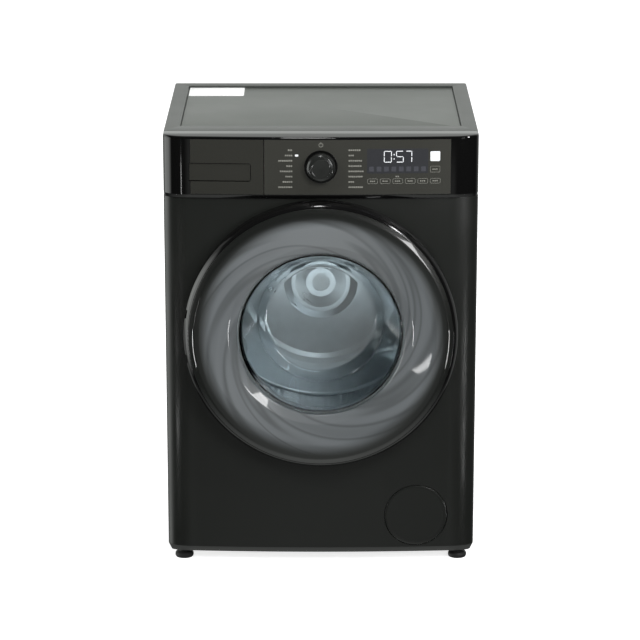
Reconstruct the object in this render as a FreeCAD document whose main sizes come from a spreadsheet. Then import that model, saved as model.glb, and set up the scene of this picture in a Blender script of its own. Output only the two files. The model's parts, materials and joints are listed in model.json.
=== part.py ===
"""Front load washing machine: cabinet, door, dispenser drawer, suspended tub and driven drum.

Millimetres. X runs to the right as seen from the front, Y runs into the machine, Z is up. The origin lies
on the floor below the centre of the machine's box, so the front faces -Y.
"""
import FreeCAD, Part
import math
import os

import Sketcher
from FreeCAD import Placement, Rotation, Vector

doc = FreeCAD.newDocument("WashingMachine")
sheet = doc.addObject("Spreadsheet::Sheet", "dims")

DIMENSIONS = [
    ("case_half", 298.5, "half the overall width"),
    ("case_top", 850, "overall height"),
    ("case_low", 22, "underside of the side panels"),
    ("face_y", -246, "front face of the front panel on the centre line"),
    ("rear_y", 284, "outer face of the rear panel"),
    ("steel_gauge", 1, "cabinet sheet thickness"),
    ("fold_wide", 14, "width of the folded sheet edges"),
    ("bow_half", 245.5, "half width of the gently bowed front"),
    ("bow_sag", 8, "how far the bow has receded at its ends"),
    ("corner_deep", 24, "further recess of the rounded corner"),
    ("panel_top", 730.9, "top of the front panel"),
    ("panel_low", 19, "bottom edge of the bevelled front panel"),
    ("bevel_tall", 13, "height of the bevel at the foot of the front panel"),
    ("bevel_deep", 10, "depth of that bevel"),
    ("panel_back", -200, "rear edge of the front panel's sides"),
    ("fascia_low", 731.5, "bottom of the control fascia"),
    ("fascia_proud", 6, "how far the fascia stands in front of the panel"),
    ("fascia_wall", 3, "fascia wall thickness"),
    ("fascia_lip", 6.5, "height of the bevel along the bottom of the fascia"),
    ("fascia_back", -194.3, "rear edge of the fascia's top"),
    ("fascia_roof", 846.5, "underside of the fascia's top plate"),
    ("drawer_seam", -107.4, "seam between the drawer front and the controls"),
    ("seam_half", 0.4, "half the width of a seam"),
    ("overlay_right", 244.5, "right end of the control overlay"),
    ("overlay_low", 739.5, "bottom of the control overlay"),
    ("overlay_high", 844.5, "top of the control overlay"),
    ("overlay_thick", 1.5, "thickness of the control overlay"),
    ("knob_z", 793, "height of the programme knob"),
    ("knob_rad", 27.3, "radius of the programme knob"),
    ("knob_well", 31.6, "radius of the well around the knob"),
    ("knob_front", -272, "front face of the knob"),
    ("worktop_front", -194, "front edge of the worktop"),
    ("worktop_low", 830, "underside of the worktop"),
    ("board_half", 268, "half width of the worktop board"),
    ("board_front", -145.5, "front edge of the worktop board"),
    ("board_rear", 250.5, "rear edge of the worktop board"),
    ("board_top", 846.5, "top of the worktop board"),
    ("door_z", 469, "height of the door, tub and drum axis"),
    ("door_rad", 261, "outer radius of the door"),
    ("door_back", -252, "rear face of the door"),
    ("door_front", -292, "front face of the door"),
    ("bowl_edge", 157, "radius of the door window"),
    ("porthole_rad", 183, "radius of the opening in the front panel"),
    ("hinge_x", -233, "door hinge axis, sideways"),
    ("hinge_y", -279, "door hinge axis, front to back"),
    ("arm_low", 38, "inner face of a hinge arm above and below the door axis"),
    ("arm_high", 50, "outer face of a hinge arm"),
    ("tub_rad", 256, "inner radius of the tub"),
    ("tub_wall", 3, "tub wall thickness"),
    ("tub_front_y", -206, "front face of the tub"),
    ("tub_split", -40, "plane where the two tub halves meet"),
    ("tub_rear_y", 152, "rear face of the tub"),
    ("drum_rad", 243, "outer radius of the drum"),
    ("drum_gauge", 1.2, "drum sheet thickness"),
    ("drum_front_y", -188, "front of the drum"),
    ("drum_rear_y", 128, "rear of the drum"),
    ("shaft_rad", 14.95, "radius of the drum shaft"),
    ("pulley_rad", 140, "running radius of the drum pulley"),
    ("motor_x", 95, "motor axis, sideways"),
    ("motor_z", 158, "motor axis height"),
    ("motor_rad", 55, "motor case radius"),
    ("motor_pulley_rad", 11, "running radius of the motor pulley"),
    ("belt_front", 215, "front edge of the drive belt"),
    ("belt_rear", 230, "rear edge of the drive belt"),
    ("belt_thick", 3.5, "thickness of the drive belt"),
    ("filter_x", 185, "pump filter axis, sideways"),
    ("filter_z", 97, "pump filter axis height"),
    ("cover_rad", 60.7, "radius of the filter cover"),
    ("cover_gap", 1.2, "gap around the filter cover"),
    ("foot_x", 268, "levelling foot, sideways"),
    ("foot_front_y", -205, "front feet"),
    ("foot_rear_y", 250, "rear feet"),
    ("foot_rad", 18, "radius of a foot pad"),
    ("stud_rad", 5, "radius of a foot's stud"),
    ("spring_x", 225, "suspension spring, sideways"),
    ("spring_y", 30, "suspension spring, front to back"),
    ("damper_x", 150, "damper, sideways"),
    ("damper_y", 20, "damper, front to back"),
    ("inlet_x", -200, "water inlet, sideways"),
    ("inlet_z", 775, "water inlet height"),
    ("outlet_x", 200, "drain outlet, sideways"),
    ("outlet_z", 120, "drain outlet height"),
    ("tray_left", -262, "left side of the dispenser tray"),
    ("tray_right", -118, "right side of the dispenser tray"),
    ("tray_low", 744, "underside of the dispenser tray"),
    ("tray_high", 800, "top of the dispenser tray"),
    ("tray_front", -238.5, "front of the dispenser tray"),
    ("tray_rear", -30, "rear of the dispenser tray"),
]


class Size:
    """A length: its number, and the spreadsheet formula that gives that number."""

    def __init__(self, number, text):
        self.number, self.text = number, text

    def __add__(self, other):
        other = as_size(other)
        return Size(self.number + other.number, f"({self.text} + {other.text})")

    def __sub__(self, other):
        other = as_size(other)
        return Size(self.number - other.number, f"({self.text} - {other.text})")

    def __mul__(self, factor):
        return Size(self.number * factor, f"({self.text} * {factor})")

    def __radd__(self, other):
        return self + other

    def __rsub__(self, other):
        return as_size(other) - self

    def __neg__(self):
        return self * -1

    def __float__(self):
        return self.number


def as_size(item):
    """A plain number counts as a size of its own."""
    return item if isinstance(item, Size) else Size(float(item), f"({float(item)})")


class Dimensions:
    """The spreadsheet's named cells, each as a Size."""

    def __init__(self):
        for row, (alias, number, meaning) in enumerate(DIMENSIONS, 1):
            sheet.set(f"A{row}", meaning)
            sheet.set(f"B{row}", str(number))
            sheet.setAlias(f"B{row}", alias)
            setattr(self, alias, Size(float(number), f"dims.{alias}"))


dim = Dimensions()
doc.recompute()
nodes = []

ALONG_X = Rotation(Vector(0, 1, 0), 90)
ALONG_Y = Rotation(Vector(1, 0, 0), -90)
ALONG_Z = Rotation()


def node(piece, name):
    """Mark a document object as a finished sub-part with its own name."""
    piece.Label = name
    nodes.append(piece)
    return piece


def bind(piece, prop, amount):
    piece.setExpression(prop, as_size(amount).text)


def place(piece, x, y, z, turn=ALONG_Z):
    """Put a piece where three sizes say, turned as given."""
    piece.Placement = Placement(Vector(float(x), float(y), float(z)), turn)
    for axis, amount in zip("xyz", (x, y, z)):
        bind(piece, f"Placement.Base.{axis}", amount)
    return piece


def block(name, low, high):
    """A box between its lowest and its highest corner."""
    piece = doc.addObject("Part::Box", name)
    for prop, start, end in zip(("Length", "Width", "Height"), low, high):
        bind(piece, prop, as_size(end) - start)
    return place(piece, *low)


def rod(name, radius, length, start, turn=ALONG_Y):
    """A cylinder from its start point along +X, +Y or +Z."""
    piece = doc.addObject("Part::Cylinder", name)
    bind(piece, "Radius", radius)
    bind(piece, "Height", length)
    return place(piece, *start, turn)


def fused(name, *pieces):
    whole = doc.addObject("Part::MultiFuse", name)
    whole.Shapes = list(pieces)
    return whole


def shared(name, *pieces):
    """What all the pieces have in common."""
    overlap = doc.addObject("Part::MultiCommon", name)
    overlap.Shapes = list(pieces)
    return overlap


def cut(name, base, *tools):
    rest = doc.addObject("Part::Cut", name)
    rest.Base = base
    rest.Tool = tools[0] if len(tools) == 1 else fused(name + "_tools", *tools)
    return rest


def solid(name, shape):
    """A sub-part or blank whose shape is worked out in code from the sheet."""
    piece = doc.addObject("Part::Feature", name)
    piece.Shape = shape
    return piece


def draw(body, name, plane, corners):
    """Closed outline of straight edges through the corners, every corner held by its two sizes."""
    sketch = body.newObject("Sketcher::SketchObject", name)
    origin_plane = [item for item in body.Origin.OriginFeatures if item.Role == plane][0]
    sketch.AttachmentSupport = [(origin_plane, "")]
    sketch.MapMode = "FlatFace"
    points = [Vector(float(across), float(up), 0) for across, up in corners]
    count = len(points)
    for here in range(count):
        sketch.addGeometry(Part.LineSegment(points[here], points[(here + 1) % count]), False)
    for here in range(count):
        sketch.addConstraint(Sketcher.Constraint("Coincident", here, 2, (here + 1) % count, 1))
    for here, corner in enumerate(corners):
        for kind, axis_line, amount in (("DistanceX", -2, corner[0]), ("DistanceY", -1, corner[1])):
            if float(amount) == 0:
                sketch.addConstraint(Sketcher.Constraint("PointOnObject", here, 1, axis_line))
                continue
            made = sketch.addConstraint(Sketcher.Constraint(kind, -1, 1, here, 1, float(amount)))
            if isinstance(amount, Size):
                sketch.setExpression(f"Constraints[{made}]", amount.text)
    return sketch


def turned(name, outline, x=0, z=0, sweep=360, turn=ALONG_Z):
    """A turned body on an axis along Y: its outline's corners are (radius, y)."""
    body = doc.addObject("PartDesign::Body", name)
    sketch = draw(body, name + "_outline", "XY_Plane", outline)
    spin = body.newObject("PartDesign::Revolution", name + "_spin")
    spin.Profile = sketch
    spin.ReferenceAxis = (sketch, ["V_Axis"])
    spin.Angle = sweep
    body.Tip = spin
    return place(body, x, 0, z, turn)


def upright(name, outline, x, y):
    """A turned body on a vertical axis: its outline's corners are (radius, z)."""
    body = doc.addObject("PartDesign::Body", name)
    sketch = draw(body, name + "_outline", "XZ_Plane", outline)
    spin = body.newObject("PartDesign::Revolution", name + "_spin")
    spin.Profile = sketch
    spin.ReferenceAxis = (sketch, ["V_Axis"])
    spin.Angle = 360
    body.Tip = spin
    return place(body, x, y, 0)


def padded(name, plane, outline, length, x=0, y=0, z=0, turn=ALONG_Z):
    """A flat outline given a thickness along its plane's normal."""
    body = doc.addObject("PartDesign::Body", name)
    sketch = draw(body, name + "_outline", plane, outline)
    pad = body.newObject("PartDesign::Pad", name + "_pad")
    pad.Profile = sketch
    pad.setExpression("Length", as_size(length).text)
    body.Tip = pad
    return place(body, x, y, z, turn)


def front_wire(proud, inset, back_y, z):
    """Plan outline of the bowed front with its rounded corners, closed by a straight back."""
    half = float(dim.bow_half)
    nose = float(dim.face_y) - proud
    shoulder = float(dim.face_y) + float(dim.bow_sag) - proud
    corner_y = float(dim.face_y) + float(dim.bow_sag) + float(dim.corner_deep)
    side = float(dim.case_half) - inset
    bow = Part.Arc(Vector(-half, shoulder, z), Vector(0, nose, z), Vector(half, shoulder, z))
    edges = [bow.toShape()]
    for centre_x, start, end in ((half, 1.5 * math.pi, 2 * math.pi), (-half, math.pi, 1.5 * math.pi)):
        oval = Part.Ellipse(Vector(centre_x, corner_y, z), side - half, corner_y - shoulder)
        edges.append(Part.ArcOfEllipse(oval, start, end).toShape())
    edges.append(Part.makeLine(Vector(side, corner_y, z), Vector(side, back_y, z)))
    edges.append(Part.makeLine(Vector(side, back_y, z), Vector(-side, back_y, z)))
    edges.append(Part.makeLine(Vector(-side, back_y, z), Vector(-side, corner_y, z)))
    return Part.Wire(Part.__sortEdges__(edges))


def front_solid(proud, inset, back_y, low, high):
    """Block whose front follows the bowed front."""
    face = Part.Face(front_wire(proud, inset, back_y, low))
    return face.extrude(Vector(0, 0, high - low))


def front_taper(low_form, high_form, back_y, low, high):
    """The same block with a front that leans: each form is (proud, inset)."""
    wires = [front_wire(*low_form, back_y, low), front_wire(*high_form, back_y, high)]
    return Part.makeLoft(wires, True, True)


def pipe(name, points, outer, inner):
    """Hose along straight runs joined by tangent arcs."""
    points = [Vector(*point) for point in points]
    edges, here = [], points[0]
    for before, corner, after in zip(points, points[1:], points[2:]):
        run_in, run_out = corner - before, after - corner
        half_turn = run_in.getAngle(run_out) / 2
        reach = 0.45 * min(run_in.Length, run_out.Length)
        radius = reach / math.tan(half_turn)
        way_in, way_out = Vector(run_in).normalize(), Vector(run_out).normalize()
        enter, leave = corner - way_in * reach, corner + way_out * reach
        inward = (way_out - way_in).normalize()
        middle = corner + inward * (radius / math.cos(half_turn) - radius)
        edges.append(Part.makeLine(here, enter))
        edges.append(Part.Arc(enter, middle, leave).toShape())
        here = leave
    edges.append(Part.makeLine(here, points[-1]))
    path = Part.Wire(edges)
    start_way = (points[1] - points[0]).normalize()
    solids = []
    for radius in (outer, inner):
        ring = Part.Wire(Part.makeCircle(radius, points[0], start_way))
        solids.append(path.makePipeShell([ring], True, False))
    return solid(name, solids[0].cut(solids[1]))


# ---------------------------------------------------------------- cabinet
def side_panel(name, side):
    """Pressed steel side with its four folded edges and the welded spring hanger."""
    outer, inner = dim.case_half * side, (dim.case_half - dim.steel_gauge) * side
    fold = (dim.case_half - dim.steel_gauge - dim.fold_wide) * side
    low_x, high_x = (outer, inner) if side < 0 else (inner, outer)
    fold_x = (inner, fold) if side < 0 else (fold, inner)
    front, rear = dim.panel_back + 1, dim.rear_y
    top, foot = dim.worktop_low - 1, dim.case_low
    sheet_plate = block(name + "_plate", (low_x, front, foot), (high_x, rear, top))
    rear_in = rear - dim.steel_gauge
    spans = [
        ((front, foot), (front + dim.steel_gauge, top)),
        ((rear_in - dim.steel_gauge, foot), (rear_in, top)),
        ((front, foot), (rear_in, foot + dim.steel_gauge)),
        ((front, top - dim.steel_gauge), (rear_in, top)),
    ]
    folds = [
        block(f"{name}_fold_{number}", (fold_x[0], low[0], low[1]), (fold_x[1], high[0], high[1]))
        for number, (low, high) in enumerate(spans)
    ]
    arm = (dim.spring_x - 12) * side
    arm_x = (inner, arm) if side < 0 else (arm, inner)
    hanger = block(name + "_hanger", (arm_x[0], dim.spring_y - 7, 800), (arm_x[1], dim.spring_y + 7, 803))
    return node(fused(name, sheet_plate, *folds, hanger), name)


side_panel("left_side_panel", -1)
side_panel("right_side_panel", 1)

SERVICE_HALF, SERVICE_LOW, SERVICE_HIGH = 165, 140, 640
TRANSIT_HOLES = [(x, z) for x in (-205, 205) for z in (300, 640)]
rear_wide = dim.case_half - dim.steel_gauge - 0.1
rear_plate = block(
    "rear_plate",
    (-rear_wide, dim.rear_y - dim.steel_gauge, dim.case_low),
    (rear_wide, dim.rear_y, dim.worktop_low - 1),
)
rear_in = dim.rear_y - 6
rear_cuts = [
    block(
        "service_opening",
        (-(SERVICE_HALF - 15), rear_in, SERVICE_LOW + 15),
        (SERVICE_HALF - 15, dim.rear_y + 5, SERVICE_HIGH - 15),
    ),
    rod("inlet_hole", 17, 12, (dim.inlet_x, rear_in, dim.inlet_z)),
    rod("outlet_hole", 14, 12, (dim.outlet_x, rear_in, dim.outlet_z)),
    rod("cord_hole", 9, 12, (-200, rear_in, 690)),
]
rear_cuts += [
    rod(f"transit_hole_{number}", 11, 12, (x, rear_in, z)) for number, (x, z) in enumerate(TRANSIT_HOLES)
]
node(cut("rear_panel", rear_plate, *rear_cuts), "rear_panel")


def service_plate(name, edge_in, low_y, high_y):
    """Rectangular slab of the service cover, its edges edge_in within the cover's rim."""
    return block(
        name,
        (edge_in - SERVICE_HALF, low_y, SERVICE_LOW + edge_in),
        (SERVICE_HALF - edge_in, high_y, SERVICE_HIGH - edge_in),
    )


cover_tray = service_plate("service_tray", 12, 285, 292)
cover_rim = service_plate("service_rim", 0, 284, 285)
cover_hollow = service_plate("service_hollow", 14, 283, 291)
service_slots = [
    block(f"service_slot_{number}", (-60, 290, 560 + 12 * number), (60, 293, 565 + 12 * number))
    for number in range(4)
]
service_blank = fused("service_blank", cover_rim, cover_tray)
node(cut("rear_service_cover", service_blank, cover_hollow, *service_slots), "rear_service_cover")

# Front panel: bowed sheet with rounded corners, a bevelled foot, folded edges and its openings.
gauge = float(dim.steel_gauge)
foot_z, bevel_z = float(dim.panel_low), float(dim.panel_low + dim.bevel_tall)
panel_back, panel_top = float(dim.panel_back), float(dim.panel_top)
bevel_in = float(dim.bevel_deep)
outer_skin = front_solid(0, 0, panel_back, bevel_z, panel_top).fuse(
    front_taper((-bevel_in, 6), (0, 0), panel_back, foot_z, bevel_z)
)
inner_room = front_solid(-gauge, gauge, panel_back + 1, bevel_z, panel_top - gauge).fuse(
    front_taper((-bevel_in - gauge, 6 + gauge), (-gauge, gauge), panel_back + 1, foot_z, bevel_z)
)
panel_blank = solid("front_panel_blank", outer_skin.cut(inner_room))
fold_in = float(dim.case_half) - gauge - float(dim.fold_wide)
top_clear = block(
    "panel_top_clear", (-fold_in, -238.5, panel_top - 5), (fold_in, panel_back + 5, panel_top + 5)
)
panel_folds = [
    block(
        f"panel_fold_{number}",
        (low_x, dim.panel_back - dim.steel_gauge, dim.panel_low + dim.bevel_tall),
        (low_x + float(dim.fold_wide), dim.panel_back, dim.panel_top - 2),
    )
    for number, low_x in enumerate((-fold_in - float(dim.fold_wide), fold_in))
]
collar = turned(
    "porthole_collar",
    [
        (dim.porthole_rad, dim.face_y + 0.2),
        (dim.porthole_rad + 1.2, dim.face_y + 0.2),
        (dim.porthole_rad + 1.2, dim.face_y + 11),
        (dim.porthole_rad, dim.face_y + 11),
    ],
    0,
    dim.door_z,
)
panel_cuts = [
    top_clear,
    rod("porthole", dim.porthole_rad, 60, (0, dim.face_y - 10, dim.door_z)),
    rod("filter_hole", dim.cover_rad + dim.cover_gap, 60, (dim.filter_x, dim.face_y - 10, dim.filter_z)),
    block("hook_slot", (196, dim.face_y - 5, dim.door_z - 12), (215, -230, dim.door_z + 12)),
    block("upper_arm_slot", (-217, dim.face_y - 5, dim.door_z + 36), (-205, -230, dim.door_z + 52)),
    block("lower_arm_slot", (-217, dim.face_y - 5, dim.door_z - 52), (-205, -230, dim.door_z - 36)),
]
panel_trimmed = cut("front_panel_trimmed", panel_blank, *panel_cuts)
node(fused("front_panel", panel_trimmed, collar, *panel_folds), "front_panel")

# Base pan with a boss for every foot and a bracket under every damper.
FEET = {
    "front_left": (-dim.foot_x, dim.foot_front_y),
    "front_right": (dim.foot_x, dim.foot_front_y),
    "rear_left": (-dim.foot_x, dim.foot_rear_y),
    "rear_right": (dim.foot_x, dim.foot_rear_y),
}
base_blank = block("base_blank", (-283, -210, 24), (283, 281.5, 56))
base_room = block("base_room", (-280.5, -235, 26.5), (280.5, 279, 60))
base_tray = cut("base_tray", base_blank, base_room)
foot_bosses = []
stud_holes = []
for place_name, (x, y) in FEET.items():
    foot_bosses.append(block(f"boss_{place_name}", (x - 12, y - 16, 24), (x + 12, y + 16, 44)))
    stud_holes.append(rod(f"stud_hole_{place_name}", dim.stud_rad + 0.1, 60, (x, y, 10), ALONG_Z))
damper_feet = []
for side in (-1, 1):
    x = dim.damper_x * side
    low, high = (x - 18, dim.damper_y - 18, 26.5), (x + 18, dim.damper_y + 18, 46)
    damper_feet.append(block(f"damper_foot_{side}", low, high))
air_slots = []
for number in range(7):
    slot_x = -120 + 40 * number
    air_slots.append(block(f"air_slot_{number}", (slot_x, -150, 20), (slot_x + 20, 90, 30)))
base_full = fused("base_full", base_tray, *foot_bosses, *damper_feet)
node(cut("base_pan", base_full, *stud_holes, *air_slots), "base_pan")

brace_out = block("brace_blank", (-283, -192, 814), (283, -168, 828.8))
brace_in = block("brace_room", (-284, -190.8, 812), (284, -169.2, 827.6))
node(cut("top_cross_brace", brace_out, brace_in), "top_cross_brace")

frame_blank = block(
    "worktop_blank",
    (-dim.case_half, dim.worktop_front, dim.worktop_low),
    (dim.case_half, dim.rear_y, dim.case_top),
)
frame_window = block(
    "worktop_window",
    (-dim.board_half - 0.5, dim.board_front - 0.5, dim.worktop_low + 3),
    (dim.board_half + 0.5, dim.board_rear + 0.5, dim.case_top + 1),
)
frame_ledge = block(
    "worktop_ledge",
    (-dim.board_half + 18, dim.board_front + 18, dim.worktop_low - 1),
    (dim.board_half - 18, dim.board_rear - 18, dim.worktop_low + 4),
)
node(cut("worktop_frame", frame_blank, frame_window, frame_ledge), "worktop_frame")
node(
    block(
        "worktop_board",
        (-dim.board_half, dim.board_front, dim.worktop_low + 3),
        (dim.board_half, dim.board_rear, dim.board_top),
    ),
    "worktop_board",
)
node(block("blank_label", (-266, 164, dim.board_top), (-155, 249, dim.board_top + 0.2)), "blank_label")

# ---------------------------------------------------------------- control fascia and dispenser drawer
proud, wall = float(dim.fascia_proud), float(dim.fascia_wall)
fascia_low, fascia_back = float(dim.fascia_low), float(dim.fascia_back)
lip_z = fascia_low + float(dim.fascia_lip)
case_top = float(dim.case_top)
fascia_outer = front_solid(proud, 0, fascia_back, lip_z, case_top).fuse(
    front_taper((proud - 2.5, 1.5), (proud, 0), fascia_back, fascia_low, lip_z)
)
fascia_room = front_solid(proud - wall, wall, fascia_back + 1, lip_z, float(dim.fascia_roof)).fuse(
    front_taper((proud - wall - 2.5, wall + 1.5), (proud - wall, wall), fascia_back + 1, fascia_low, lip_z)
)
fascia_shell = solid("fascia_shell", fascia_outer.cut(fascia_room))
drawer_shell = solid("drawer_shell", fascia_outer.cut(fascia_room))
overlay_skin = solid(
    "overlay_skin",
    front_solid(proud, 0, fascia_back, fascia_low, case_top).cut(
        front_solid(proud - float(dim.overlay_thick), 0, fascia_back + 1, fascia_low - 1, case_top + 1)
    ),
)
overlay_window = block(
    "overlay_window",
    (dim.drawer_seam + dim.seam_half + 0.6, -260, dim.overlay_low),
    (dim.overlay_right, -230, dim.overlay_high),
)
overlay_blank = shared("overlay_blank", overlay_skin, overlay_window)
knob_hole = rod("knob_hole", dim.knob_well, 60, (0, -270, dim.knob_z))
node(cut("control_overlay", overlay_blank, knob_hole), "control_overlay")
drawer_room = block(
    "drawer_room",
    (-dim.case_half - 2, -260, dim.fascia_low - 2),
    (dim.drawer_seam + dim.seam_half, dim.panel_back + 0.4, dim.fascia_roof - 0.1),
)
side_room = block(
    "side_room",
    (-dim.case_half - 2, dim.panel_back + 0.5, dim.fascia_low - 2),
    (dim.case_half + 2, dim.fascia_back + 2, dim.worktop_low - 0.2),
)
overlay_seat = shared("overlay_seat", overlay_skin, overlay_window)
encoder_hole = rod("encoder_hole", 5, 40, (0, -262, dim.knob_z))
fascia_cuts = (drawer_room, side_room, overlay_seat, encoder_hole)
node(cut("control_fascia", fascia_shell, *fascia_cuts), "control_fascia")

drawer_span = block(
    "drawer_span",
    (-dim.case_half - 1, -260, dim.fascia_low),
    (dim.drawer_seam - dim.seam_half, dim.panel_back - 0.5, dim.fascia_roof - 0.6),
)
drawer_face = shared("drawer_face", drawer_shell, drawer_span)
grip_recess = block("grip_recess", (-247, -260, 764), (-131.4, -247.6, 799))
grip_scoop = block("grip_scoop", (-250, -260, 764), (-240, -243.4, 799))
boss_blank = block("drawer_boss_blank", (-236, -252, 750), (-124, dim.tray_front, 796))
boss_form = solid("drawer_boss_form", front_solid(proud - 1.5, wall, fascia_back, fascia_low, case_top))
drawer_boss = shared("drawer_boss", boss_blank, boss_form)
drawer_whole = fused("drawer_whole", drawer_face, drawer_boss)
node(cut("drawer_front", drawer_whole, grip_recess, grip_scoop), "drawer_front")

tray_blank = block(
    "tray_blank",
    (dim.tray_left, dim.tray_front, dim.tray_low),
    (dim.tray_right, dim.tray_rear, dim.tray_high),
)
TRAY_WALL = 2.2
DIVIDER_X = -166
MAIN_DIVIDER_Y = -150
tray_rooms = [
    block(
        "main_wash_room",
        (dim.tray_left + TRAY_WALL, MAIN_DIVIDER_Y + TRAY_WALL, dim.tray_low + TRAY_WALL),
        (DIVIDER_X, dim.tray_rear - TRAY_WALL, dim.tray_high + 1),
    ),
    block(
        "prewash_room",
        (dim.tray_left + TRAY_WALL, dim.tray_front + TRAY_WALL, dim.tray_low + TRAY_WALL),
        (DIVIDER_X, MAIN_DIVIDER_Y, dim.tray_high + 1),
    ),
    block(
        "softener_room",
        (DIVIDER_X + TRAY_WALL, dim.tray_front + TRAY_WALL, dim.tray_low + TRAY_WALL),
        (dim.tray_right - TRAY_WALL, dim.tray_rear - TRAY_WALL, dim.tray_high + 1),
    ),
]
node(cut("drawer_tray", tray_blank, *tray_rooms), "drawer_tray")

housing_blank = block("housing_blank", (-272, -232, 736), (-110, -8, 812))
housing_room = block("housing_room", (-269.5, -240, 738.5), (-112.5, -10.5, 809.5))
drain_neck = rod("housing_neck", 20, 16, (-175, -60, 722), ALONG_Z)
neck_bore = rod("housing_neck_bore", 17, 30, (-175, -60, 715), ALONG_Z)
inlet_neck = rod("housing_inlet", 8, 16, (dim.inlet_x, -10, 790))
inlet_neck_bore = rod("housing_inlet_bore", 6, 30, (dim.inlet_x, -14, 790))
housing_full = fused("housing_full", housing_blank, drain_neck, inlet_neck)
node(cut("dispenser_housing", housing_full, housing_room, neck_bore, inlet_neck_bore), "dispenser_housing")

knob_bore = dim.stud_rad * 0.6 + 0.05
node(
    turned(
        "programme_knob",
        [
            (0, dim.knob_front),
            (17.5, dim.knob_front),
            (23, dim.knob_front + 1.5),
            (dim.knob_rad - 0.8, dim.knob_front + 5),
            (dim.knob_rad, dim.knob_front + 9),
            (dim.knob_rad, -251.3),
            (knob_bore, -251.3),
            (knob_bore, -263.2),
            (0, -263.2),
        ],
        0,
        dim.knob_z,
    ),
    "programme_knob",
)
board_plate = block("board_plate", (-95, -238, 748), (215, -236.4, 838))
display_block = block("display_block", (86, -241.5, 782), (200, -237, 828))
encoder_body = block("encoder_body", (-8, -248, dim.knob_z - 8), (8, -237, dim.knob_z + 8))
encoder_shaft = rod("encoder_shaft", dim.stud_rad * 0.6, 16, (0, -263, dim.knob_z))
node(fused("control_board", board_plate, display_block, encoder_body, encoder_shaft), "control_board")

# ---------------------------------------------------------------- door
window, rim, front = dim.bowl_edge, dim.door_rad, dim.door_front
ring = turned(
    "door_ring_blank",
    [
        (rim - 3, dim.door_back),
        (rim, dim.door_back),
        (rim, front + 14),
        (rim - 6.5, front + 4),
        (rim - 9.5, front + 4),
        (rim - 9.5, front + 7),
        (rim - 3, front + 17),
    ],
    0,
    dim.door_z,
)
arm_notches = [
    block(f"ring_notch_{side}", (-265, dim.hinge_y - 1, low), (-235, dim.door_back + 2, high))
    for side, low, high in (
        ("upper", dim.door_z + dim.arm_low - 2, dim.door_z + dim.arm_high + 2),
        ("lower", dim.door_z - dim.arm_high - 2, dim.door_z - dim.arm_low + 2),
    )
]
node(cut("door_outer_ring", ring, *arm_notches), "door_outer_ring")
node(
    turned(
        "door_cover",
        [
            (window, front + 26),
            (window + 2, front + 24),
            (rim - 36, front + 1.2),
            (rim - 26, front),
            (rim - 15, front),
            (rim - 9.7, front + 4),
            (rim - 9.7, front + 7),
            (rim - 16, front + 3.2),
            (rim - 26, front + 3.2),
            (rim - 36, front + 4.4),
            (window + 2, front + 27.5),
            (window, front + 29),
        ],
        0,
        dim.door_z,
    ),
    "door_cover",
)
node(
    turned(
        "door_bowl",
        [
            (0, -150),
            (102, -154),
            (122, -168),
            (148.5, -247),
            (151, front + 29.2),
            (window + 11, front + 29.2),
            (window + 11, front + 33.2),
            (window - 0.8, front + 33.2),
            (154, -246),
            (127, -165),
            (105, -149),
            (0, -145),
        ],
        0,
        dim.door_z,
    ),
    "door_bowl",
)
inner_ring = turned(
    "inner_ring_blank",
    [
        (window - 0.4, front + 33.4),
        (window - 0.4, dim.door_back),
        (rim - 3.2, dim.door_back),
        (rim - 3.2, dim.door_back - 2.5),
        (window + 14, dim.door_back - 2.5),
        (window + 14, front + 29.2),
        (window + 11.2, front + 29.2),
        (window + 11.2, front + 33.4),
    ],
    0,
    dim.door_z,
)
plate_slots = [
    block(f"plate_slot_{side}", (-265, -266, low), (-204, dim.door_back + 2, high))
    for side, low, high in (
        ("upper", dim.door_z + dim.arm_low - 2, dim.door_z + dim.arm_high + 2),
        ("lower", dim.door_z - dim.arm_high - 2, dim.door_z - dim.arm_low + 2),
    )
]
DOOR_SCREW_ANGLES = [30, 60, 90, 120, 150, 210, 240, 270, 300, 330]
screw_holes = []
door_screw_parts = []
for number, angle in enumerate(DOOR_SCREW_ANGLES):
    spot_x = 232 * math.cos(math.radians(angle))
    spot_z = dim.door_z + 232 * math.sin(math.radians(angle))
    screw_holes.append(rod(f"door_screw_hole_{number}", 2, 12, (spot_x, -260, spot_z)))
    head = rod(f"door_screw_head_{number}", 3.8, 1.6, (spot_x, dim.door_back, spot_z))
    shank = rod(f"door_screw_shank_{number}", 1.95, 14, (spot_x, -266, spot_z))
    door_screw_parts += [head, shank]
node(cut("door_inner_ring", inner_ring, *plate_slots, *screw_holes), "door_inner_ring")
node(fused("door_screws", *door_screw_parts), "door_screws")
hook_stem = block("hook_stem", (200, -240, dim.door_z - 8), (208, -224, dim.door_z + 8))
hook_root = block("hook_root", (196, dim.door_back, dim.door_z - 8), (208, -240, dim.door_z + 8))
hook_tip = block("hook_tip", (208, -229, dim.door_z - 8), (211, -224, dim.door_z + 8))
node(fused("door_hook", hook_stem, hook_root, hook_tip), "door_hook")

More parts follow.
